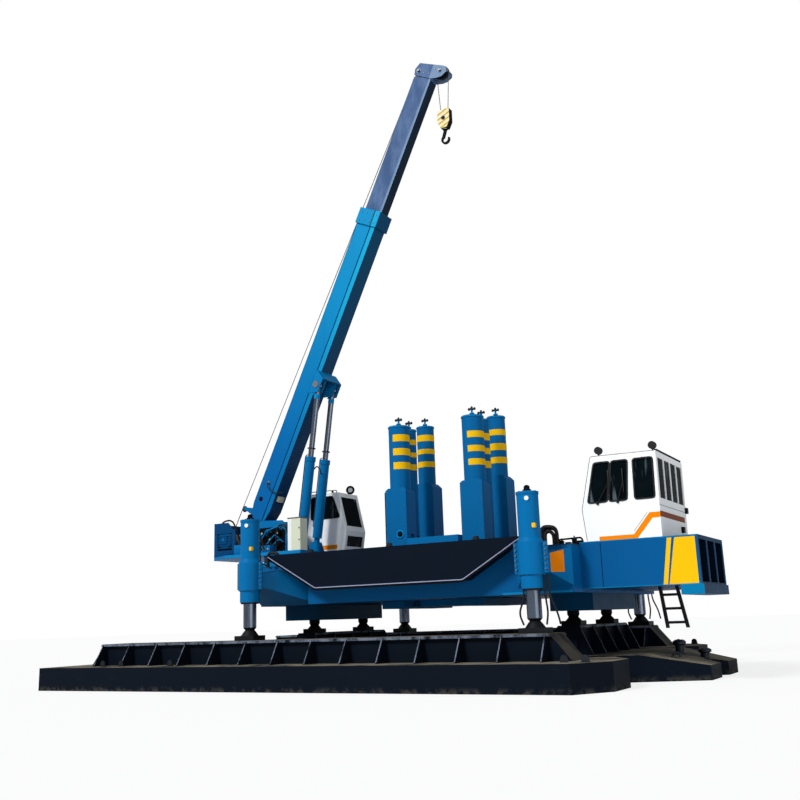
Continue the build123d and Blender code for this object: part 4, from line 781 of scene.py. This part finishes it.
piece("jack_hose_arches", "platform", BLACK_RUBBER, *[
    tube(eased(upright(y + dy, [(x0, 3.12), (x0, top), (x1, top - 0.04), (x1, 3.12)]), 0.15), 0.045)
    for y in (-3.0, 3.0) for x0, x1, top, dy in (
        (3.84, 4.22, 3.60, 0), (3.92, 4.14, 3.50, 0.02), (3.88, 4.18, 3.58, 0.12), (-4.22, -3.84, 3.5, 0))])
FOOT_HOSES = [
    [(-0.22, 2.43), (-0.22, 1.95), (-0.36, 1.61), (-0.26, 1.36)],
    [(0.29, 2.43), (0.29, 1.95), (0.33, 1.62), (0.28, 1.36)],
    [(0.40, 2.43), (0.40, 1.95), (0.55, 1.60), (0.60, 1.36)]]
for name, row in (("near", -1), ("far", 1)):
    hoses = piece(name + "_foot_hoses", None, BLACK_RUBBER, *[
        tube(eased(np.array(upright(-0.02, bends)) + (JACK[0], row * JACK[1], 0), 0.13), 0.022, 10)
        for bends in FOOT_HOSES])
    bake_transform(hoses)

# Side tanks: a pale line along their edges as a painted highlight, a black strip under it as painted shadow,
# filler caps

filler = [(0, 0.09), (0.04, 0.09), (0.05, 0.07), (0.09, 0.07), (0.10, 0.05)]
tank_edge = [(-3.62, 3.30), (-2.11, 2.43), (2.11, 2.43), (3.62, 3.30)]
for name, side in (("near", -1), ("far", 1)):
    # Pale lilac line along the tank's edges: a painted highlight
    highlight_line = [(x, side * 3.797, z + 0.012) for x, z in tank_edge]
    # Black strip just under it: painted shadow beneath the tank's edge
    rim = [(x, side * 3.795, z - 0.03) for x, z in tank_edge]
    piece(name + "_tank_edge_highlight", "platform", EDGE_HIGHLIGHT_PAINT, strip(eased(highlight_line, 0.05), 0.022, 0.012))
    piece(name + "_tank_edge", "platform", BLACK_PAINT, strip(eased(rim, 0.05), 0.05, 0.010))
    piece(name + "_tank_caps", "platform", DARK_STEEL, *[
        turned(filler, (x, side * 3.55, 3.351), sides=20) for x in (-2.4, 0.0, 2.4)])
# Bright blue lines along the side beam's edges: painted highlights
piece("side_beam_edge_highlight", "platform", BRIGHT_BLUE,
      strip([(2.9, -3.317, 2.075), (4.62, -3.317, 2.075)], 0.05, 0.012),
      strip([(2.9, -3.317, 3.075), (3.3, -3.317, 3.075)], 0.04, 0.012))

# Operator's cab: gaskets, wipers, edge seal, roof strip, door handle; valves and levers on the deck beside it

CAB_NEAR = -2.74
CAB_PANES = [
    ((4.94, 4.07), (5.15, 5.0), (5.535, 5.0), (5.415, 4.07)),
    ((5.455, 4.07), (5.57, 5.0), (5.96, 5.0), (5.88, 4.07)),
    ((6.06, 4.07), (6.08, 5.0), (6.54, 5.0), (6.52, 4.07))]
piece("cab_window_gaskets", "platform", BLACK_RUBBER, *[
    strip(eased(upright(CAB_NEAR - 0.005, pane), 0.07, True), 0.034, 0.018, True) for pane in CAB_PANES])
piece("cab_wipers", "platform", BLACK_RUBBER, *[
    shell for x, lean in ((5.18, 0.30), (5.66, 0.16))
    for shell in (
        tube(upright(CAB_NEAR - 0.025, [(x, 4.04), (x + lean, 4.52)]), 0.010, 8),
        box((x + lean - 0.012, CAB_NEAR - 0.032, 4.25), (x + lean + 0.012, CAB_NEAR - 0.012, 4.8), 0.003),
        disc((x, CAB_NEAR - 0.002, 4.04), (0, -1, 0), 0.03, 0.03))])
cab_edge = [(6.60, 5.142), (5.08, 5.162), (4.79, 3.93), (4.86, 3.21)]
piece("cab_edge_seal", "platform", BOLT_STEEL, tube(eased(upright(CAB_NEAR + 0.002, cab_edge), 0.06), 0.008, 8))
piece("cab_roof_strip", "platform", BLACK_PAINT, box((6.56, -2.62, 5.15), (6.625, -0.40, 5.19)))
piece("cab_door_handle", "cab_door", BLACK_PAINT, tube(eased(
    [(5.56, y, z) for y, z in ((-0.30, 4.0), (-0.235, 4.0), (-0.235, 4.22), (-0.30, 4.22))], 0.03), 0.012))
piece("cab_end_lumps", "platform", BLACK_PAINT, box((6.60, -0.40, 3.88), (6.66, -0.24, 4.02)),
      box((6.60, -0.92, 3.38), (6.66, -0.74, 3.52)))
piece("deck_valves", "platform", BLACK_PAINT, *[
    box((x, -2.56, 3.141), (x + wide, -2.44, top)) for x, wide, top in (
        (4.10, 0.09, 3.27), (4.25, 0.12, 3.23), (4.42, 0.09, 3.31), (4.55, 0.12, 3.25))],
    tube(eased(upright(-2.5, [(4.05, 3.14), (4.05, 3.30), (4.66, 3.32), (4.66, 3.14)]), 0.08), 0.022, 10))
piece("deck_levers", "platform", BOLT_STEEL, *[
    stud((x, -2.5, z), (0, 0, 1), 0.03, 0.02, 0.018, reach=0.06) for x, z in ((4.145, 3.27), (4.465, 3.31))])

# Crane: cab trim, lamp, cabinet trim, slew bolts, pins, hydraulics, valve block, hoses

CRANE_PANE = [(-5.11, 4.71), (-5.08, 5.40), (-4.28, 5.39), (-4.03, 4.72)]
piece("crane_window_gasket", "crane", BLACK_RUBBER,
      strip(eased(upright(0.345, CRANE_PANE), 0.09, True), 0.034, 0.018, True))
piece("crane_roof_rail", "crane", BOLT_STEEL, tube(eased(
    upright(0.42, [(-5.20, 5.52), (-5.20, 5.60), (-4.18, 5.58), (-4.18, 5.50)]), 0.04), 0.014),
    tube([(-4.7, 0.42, 5.51), (-4.7, 0.42, 5.59)], 0.010))
piece("crane_roof_knob", "crane", BLACK_PAINT, turned(
    [(0, 0.05), (0.05, 0.05), (0.06, 0.035), (0.10, 0.035), (0.12, 0.02)], (-4.55, 0.75, 5.51), sides=16))
piece("crane_lamp", "crane", BLACK_PAINT, ring((-4.14, 1.15, 5.65), (0.45, -0.89, 0), 0.105, 0.034),
      tube([(-4.16, 1.15, 5.50), (-4.16, 1.15, 5.55)], 0.02, 10),
      turned([(-0.08, 0.05), (-0.04, 0.09), (0.0, 0.095)], (-4.14, 1.15, 5.65), (0.45, -0.89, 0), 20))
piece("crane_lamp_lens", "crane", LENS, disc((-4.139, 1.148, 5.65), (0.45, -0.89, 0), 0.085, 0.006))
piece("cabinet_trim", "crane", BOLT_STEEL,
      box((-4.66, -1.512, 4.58), (-4.19, -1.14, 4.612), 0.003),
      *[disc((-4.24, -1.501, z), (0, -1, 0), 0.02, 0.02) for z in (3.95, 4.3)])
piece("crane_slew_bolts", "crane", BOLT_STEEL, bolts(
    [place for place in np.array([SLEW_X, CRANE_Y, TABLE_TOP]) + 0.66 * wheel((0, 0, 1), 36)
     if place[0] > SLEW_X + 0.3 or abs(place[1] - CRANE_Y) > 0.45], (0, 0, 1), 0.02, 0.018))
piece("table_front_edge", "crane", BRIGHT_BLUE, box((-6.98, -1.556, 3.56), (-4.17, -1.551, 3.648), 0.001))
piece("foot_pin_caps", "crane", BOLT_STEEL, *[
    shell for side in (-1, 1) for shell in (
        disc((BOOM_FOOT[0], CRANE_Y + side * 0.356, BOOM_FOOT[1]), (0, side, 0), 0.105, 0.02),
        bolts(np.array([BOOM_FOOT[0], CRANE_Y + side * 0.376, BOOM_FOOT[1]]) + 0.075 * wheel((0, 1, 0), 6),
              (0, side, 0), 0.012, 0.012))])
CHEEK_FACE = -0.836
piece("cheek_bolts", "crane", BOLT_STEEL, bolts(
    [(x, CHEEK_FACE, 3.72) for x in np.linspace(-6.85, -5.28, 10)], (0, -1, 0), 0.02, 0.016))
bay = [(-6.78, 3.70), (-5.24, 3.70), (-5.24, 4.36), (-5.50, 4.46), (-6.30, 4.46), (-6.60, 4.30)]
piece("hydraulics_bay", "crane", BLACK_PAINT, slab(upright(CHEEK_FACE, bay), (0, -0.012, 0)), *[
    disc((x, -0.85, z), (0, -1, 0), radius, 0.10, 18) for x, z, radius in (
        (-6.35, 4.10, 0.11), (-6.02, 4.28, 0.08), (-5.72, 4.08, 0.12), (-5.44, 4.25, 0.07),
        (-6.55, 3.90, 0.08))])
piece("hydraulics_pipes", "crane", BRIGHT_BLUE, *[
    tube(eased([(x0, -0.90, z0), (x0 + 0.12, -0.98, z0 + 0.16), (x1, -0.98, z1 + 0.10), (x1 + 0.08, -0.90, z1)],
               0.07), 0.02, 10)
    for x0, z0, x1, z1 in ((-6.50, 3.75, -6.10, 4.18), (-6.25, 3.80, -5.80, 4.30), (-5.95, 3.78, -5.52, 4.12),
                           (-6.62, 4.05, -6.28, 4.30), (-5.70, 3.76, -5.34, 3.98), (-5.90, 4.20, -5.40, 4.36))])
piece("hydraulics_fittings", "crane", BEIGE_PAINT, *[
    stud((x, -0.95, z), (0, -1, 0), 0.03, 0.03, 0.018, 6)
    for x, z in ((-6.35, 4.10), (-5.72, 4.08), (-6.02, 4.28), (-5.44, 4.25))])
piece("valve_block", "crane", BLUE_PAINT, box((-6.05, -1.32, 3.651), (-5.45, -1.05, 3.87)),
      box((-6.75, -1.40, 3.651), (-6.42, -1.10, 3.95)))
SPOOLS = np.linspace(-5.99, -5.51, 6)
piece("valve_spools", "crane", DARK_STEEL, *[
    stud((x, -1.185, 3.869), (0, 0, 1), 0.028, 0.05, 0.02, reach=0.10) for x in SPOOLS],
    *[turned([(0, 0.05), (0.12, 0.05), (0.14, 0.035)], (x, -1.25, 3.949), sides=16) for x in (-6.66, -6.52)])
piece("valve_fittings", "crane", BEIGE_PAINT, *[
    stud((x, -1.321, 3.76), (0, -1, 0), 0.022, 0.04, 0.014, 10) for x in SPOOLS])
piece("table_hoses", "crane", BLACK_RUBBER, *[
    tube(eased([(x, -1.34, 3.76), (x, -1.44, 3.76), (x - 0.05, -1.45, 4.02 + lift),
                (x - 0.3, -1.2, 4.08 + lift), (x - 0.42, -0.93, 3.90), (x - 0.42, -0.87, 3.70)], 0.10),
         0.018, 10)
    for x, lift in ((-5.99, 0.0), (-5.89, 0.07), (-5.80, 0.02), (-5.70, 0.10), (-5.60, 0.05))],
    tube(eased(upright(-1.2, [(-5.30, 3.66), (-5.30, 4.42), (-5.02, 4.50), (-4.85, 4.2), (-4.85, 3.66)]),
               0.2), 0.022),
    tube(eased([(-7.6, -0.95, 4.30), (-7.6, -1.0, 4.75), (-7.15, -0.99, 4.80), (-7.0, -0.93, 4.35),
                (-6.8, -0.9, 3.9)], 0.2), 0.026),
    tube(eased(upright(-1.0, [(-5.33, 4.35), (-5.16, 4.55), (-4.98, 4.30), (-4.98, 3.66)]), 0.12), 0.016))
piece("crane_door_handle", "crane_door", BLACK_PAINT, tube(eased(
    [(-5.09, 1.45, 4.3), (-5.09, 1.51, 4.3), (-5.09, 1.51, 4.5), (-5.09, 1.45, 4.5)], 0.03), 0.011))

# Winch: rope wraps on the drum, and the rope's way up the boom

wrap_count = 40
turns = np.linspace(0, wrap_count, wrap_count * 6 + 1)
wrap_profile = np.stack([-0.52 + 1.04 * turns / wrap_count, 0.192 + 0.012 * np.abs(np.sin(np.pi * turns))], -1)
wrap_profile = np.concatenate([wrap_profile, [(0.52, 0.182), (-0.52, 0.182)]])
piece("drum_wraps", "drum", ROPE_STEEL, turned(wrap_profile, DRUM, (0, 1, 0), 36, True))
ROLLER = on_boom(0.36, 0.82)
lead = piece("winch_rope_lead", None, ROPE_STEEL,
             rope((-7.60, CRANE_Y, 4.27), ROLLER + (-0.06, 0, 0.07), 0.014))
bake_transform(lead)
piece("guide_roller", "boom", DARK_STEEL, ring(ROLLER, (0, 1, 0), 0.075, 0.024),
      disc(ROLLER - (0, 0.04, 0), (0, 1, 0), 0.07, 0.08))
piece("guide_roller_bracket", "boom", BLUE_PAINT, *[
    slab([ROLLER + (-0.04, dy, 0.03), ROLLER + (0.05, dy, 0.05), on_boom(0.55, 0.35) + (0.05, dy, 0),
          on_boom(0.30, 0.33) + (0, dy, 0)], (0, 0.016, 0)) for dy in (-0.075, 0.06)])
ROPE_FOOT, ROPE_HEAD = np.array([0.36, 0.905]), np.array([15.13, 0.415])


def rope_point(share):
    """Point of the hoist rope at a share of its way from the guide roller to the head."""
    return on_boom(*(ROPE_FOOT + (ROPE_HEAD - ROPE_FOOT) * share))


piece("hoist_rope_lower", "boom", ROPE_STEEL, rope(rope_point(0.0), rope_point(0.70), 0.012))
piece("hoist_rope_upper", "tip", ROPE_STEEL, rope(rope_point(0.47), rope_point(1.0), 0.0135))

# Boom: side fittings, hose, clips, weld beads, bolts, and what is on the luffing cylinders

near_face = CRANE_Y - BOOM_HALF
piece("boom_port", "boom", BLACK_PAINT, disc((-6.20, near_face, 5.38), (0, -1, 0), 0.075, 0.006))
piece("boom_fitting", "boom", BOLT_STEEL,
      stud((-5.89, near_face, 5.85), (0, -1, 0), 0.05, 0.02, 0.03, 16, 0.07))
piece("boom_hose", "boom", BLACK_RUBBER, tube(eased(
    [(-5.89, near_face - 0.07, 5.85), (-5.86, near_face - 0.09, 5.66), (-5.62, near_face - 0.06, 5.5),
     (-5.39, near_face + 0.02, 5.50)], 0.09), 0.016))
piece("boom_junction_box", "boom", BEIGE_PAINT, boom_block(1.05, 1.22, -0.352, -0.44, -0.66, 0.24))
piece("boom_clips", "boom", BLACK_PAINT, *[
    boom_block(along, along + 0.09, 0.352, 0.42, -0.70, 0.09) for along in (1.35, 1.95, 2.15)])
piece("boom_weld_beads", "boom", BLUE_PAINT, *[
    tube([on_boom(along, up, CRANE_Y + side * (BOOM_HALF + 0.0005)) for along in (0.75, 10.0)], 0.007, 8)
    for side in (-1, 1) for up in (-0.17, 0.345)])
piece("boom_mouth_bolts", "boom", BOLT_STEEL, *[
    bolts([on_boom(a, up, CRANE_Y + side * 0.336) for a in (10.15, 10.40) for up in (-0.28, -0.1, 0.1, 0.28)],
          (0, side, 0), 0.02, 0.018) for side in (-1, 1)])
piece("luff_boss", "boom", BOLT_STEEL, *[
    disc(LUFF_EYE + (0, side * 0.516, 0), (0, side, 0), 0.11, 0.02) for side in (-1, 1)])
along_luff = unit(LUFF_EYE - LUFF_FOOT)


def on_luff(along, x=0.0, y=0.0, z=0.0):
    """Point at a distance from the luffing cylinders' foot along them, moved by x, y and z."""
    return LUFF_FOOT + along_luff * along + (x, y, z)


for name, body, finish, along, profile in (
        ("luff_rod_rings", "rods", BRIGHT_BLUE, 4.42, [(0, 0.086), (0, 0.094), (0.14, 0.094), (0.14, 0.086)]),
        ("luff_wipers", "barrels", BLACK_RUBBER, 2.881,
         [(0, 0.088), (0, 0.125), (0.035, 0.12), (0.035, 0.088)])):
    piece(name, body, finish, *[
        turned(profile, on_luff(along, y=side * LUFF_SIDE), along_luff, 32, True) for side in (-1, 1)])
piece("luff_pipes", "barrels", DARK_STEEL, *[
    tube(eased([on_luff(along, x, side * LUFF_SIDE) for along, x in (
        (0.55, -0.12), (0.6, -0.20), (2.7, -0.20), (2.72, -0.12))], 0.06), 0.014) for side in (-1, 1)])
piece("luff_hose", "barrels", BLACK_RUBBER, tube(eased(
    [on_luff(2.2, y=-0.24), on_luff(2.35, 0.06, -0.1, 0.05), on_luff(2.3, 0.06, 0.1), on_luff(2.2, y=0.24)],
    0.08), 0.018))

# Head: nuts, bolts, rope over the sheaves, falls

piece("head_pin_nuts", "tip", BOLT_STEEL, *[
    shell for middle in (REAR_SHEAVE, FRONT_SHEAVE) for side in (-1, 1) for shell in (
        disc(middle + (0, side * HEAD_SIDE, 0), (0, side, 0), 0.075, 0.012),
        stud(middle + (0, side * (HEAD_SIDE + 0.012), 0), (0, side, 0), 0.05, 0.03, 0.04, 6))])
piece("head_plate_bolts", "tip", BOLT_STEEL, *[
    bolts([on_boom(along, up, CRANE_Y + side * (HEAD_SIDE - 0.0005)) for along, up in (
        (15.08, -0.2), (15.08, 0.0), (15.08, 0.2), (15.25, -0.35))], (0, side, 0), 0.018, 0.016)
    for side in (-1, 1)])


def over_sheave(middle, radius, start, end, steps=14):
    """Arc round a sheave from one angle to another, in degrees from +X towards +Z."""
    turn = np.radians(np.linspace(start, end, steps))
    return middle + radius * np.stack([np.cos(turn), 0 * turn, np.sin(turn)], -1)


apart = FRONT_SHEAVE - REAR_SHEAVE
square = 90 + math.degrees(math.atan2(apart[2], apart[0]))
over_head = [over_sheave(REAR_SHEAVE, 0.194, 150, square), over_sheave(FRONT_SHEAVE, 0.203, square, 0)]
piece("head_rope", "tip", ROPE_STEEL, tube(np.concatenate(over_head), 0.0125))
falls = piece("rope_falls", None, ROPE_STEEL, *[
    rope(FRONT_SHEAVE + (side * 0.2023, 0, 0.005), HOOK_PIN + (side * 0.12, 0, 0.26), 0.0125)
    for side in (-1, 1)])
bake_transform(falls)
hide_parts("hoist_falls")
piece("hook_pin_nuts", "hook", BLACK_PAINT, *[
    stud(HOOK_PIN + (0, side * 0.1105, 0), (0, side, 0), 0.06, 0.03, 0.045, 6) for side in (-1, 1)])

# Pontoons: bollards, lugs, edges

bollard = [(0, 0.17), (0.03, 0.17), (0.04, 0.11), (0.22, 0.11), (0.25, 0.16), (0.32, 0.16), (0.36, 0.10)]
low_bollard = [(z * 0.8, r) for z, r in bollard]
for body, side in (("right_boat", 1), ("left_boat", -1)):
    piece(body + "_bollards", body, DARK_STEEL,
          turned(bollard, (side * 5.95, 0.45, 0.50)), turned(low_bollard, (side * 6.55, 0.45, 0.36)),
          tube(eased([(side * 6.12, -0.96, 0.42), (side * 6.12, -0.96, 0.58), (side * 6.30, -0.96, 0.60),
                      (side * 6.30, -0.96, 0.50)], 0.06), 0.03, 10))
lug_outline = [(-0.09, 0), (0.09, 0), (0.07, 0.11), (0.03, 0.15), (-0.03, 0.15), (-0.07, 0.11)]
for body, side, shift, start in (("near_boat", -1, 0.0, -10.1), ("far_boat", 1, -0.14, -10.08)):
    piece(body + "_lugs", body, DARK_STEEL, *[
        slab([(x + shift + dx, side * 5.02, 0.601 + dz) for dx, dz in lug_outline], (0, side * -0.05, 0))
        for x in (-8.31, -7.63, -5.87, 4.93, 5.39)])
    piece(body + "_gunwale", body, EDGE_PAINT,
          strip([(start, side * LONG_EDGE, 0.585), (5.1, side * LONG_EDGE, 0.585)], 0.022, 0.010))


# Camera, at the photograph's viewing angle

CAMERA_PLACE = (12.112, -24.154, 1.541)
CAMERA_YAW = math.radians(29.51)
CAMERA_PITCH = math.radians(13.12)
CAMERA_ROLL = math.radians(-1.95)
CAMERA_LENS = 42.65


def place_camera():
    """Camera level along +Y, turned left by the yaw, up by the pitch and about its own view by the roll."""
    data = bpy.data.cameras.new("camera")
    data.lens = CAMERA_LENS
    data.sensor_width = 36.0
    data.clip_end = 500.0
    camera = bpy.data.objects.new("camera", data)
    turn = Matrix.Rotation(CAMERA_YAW, 4, "Z") @ Matrix.Rotation(math.pi / 2 + CAMERA_PITCH, 4, "X")
    camera.matrix_world = Matrix.Translation(CAMERA_PLACE) @ turn @ Matrix.Rotation(CAMERA_ROLL, 4, "Z")
    bpy.context.scene.collection.objects.link(camera)
    bpy.context.scene.camera = camera


place_camera()


# Light, sky and floor

WORLD_LEVEL = 0.36


def plain_world():
    """Pale even sky; the camera and what is seen through glass find it white."""
    world = bpy.data.worlds.new("studio")
    bpy.context.scene.world = world
    sky = Nodes(world)
    light = sky.node("Background", {}, {"Color": SKY, "Strength": WORLD_LEVEL})[0]
    seen = sky.node("Background", {}, {"Color": WHITE})[0]
    path = sky.node("LightPath", {}, {})
    share = path["Is Camera Ray"] | path["Is Transmission Ray"]
    sky.node("OutputWorld", {}, {0: sky.node("MixShader", {}, {0: share, 1: light, 2: seen})[0]})


plain_world()


def sun(name, place, target, strength, spread):
    """Sunlight that shines from the place to the target; a wider spread makes softer shadows."""
    data = bpy.data.lights.new(name, "SUN")
    data.energy = strength
    data.angle = spread
    made = bpy.data.objects.new(name, data)
    made.location = place
    made.rotation_euler = (Vector(target) - Vector(place)).to_track_quat("-Z", "Y").to_euler()
    bpy.context.scene.collection.objects.link(made)


sun("key", (-9, -24, 24), (0, 0, 3), 2.8, math.radians(14))
sun("fill", (24, -14, 8), (0, 0, 4), 0.7, math.radians(40))

FLOOR_REACH = 220.0
FLOOR_DROP = 0.002
FLOOR_OWN_WHITE = 0.8


def floor():
    """White floor that keeps the object's shadow: to the camera it is mostly its own white, and partly lit."""
    mesh = bpy.data.meshes.new("floor")
    r = FLOOR_REACH
    mesh.from_pydata([(-r, -r, 0), (r, -r, 0), (r, r, 0), (-r, r, 0)], [], [(0, 1, 2, 3)])
    sheet = bpy.data.objects.new("floor", mesh)
    sheet.location.z = -FLOOR_DROP
    bpy.context.scene.collection.objects.link(sheet)
    material = bpy.data.materials.new("floor_white")
    paint = Nodes(material)
    lit = paint.node("BsdfDiffuse", {}, {"Color": (0.9, 0.9, 0.9, 1.0)})[0]
    own = paint.node("Emission", {}, {"Color": WHITE})[0]
    share = paint.node("LightPath", {}, {})["Is Camera Ray"] * FLOOR_OWN_WHITE
    paint.node("OutputMaterial", {}, {0: paint.node("MixShader", {}, {0: share, 1: lit, 2: own})[0]})
    mesh.materials.append(material)


floor()

bpy.context.scene.view_settings.view_transform = "Standard"
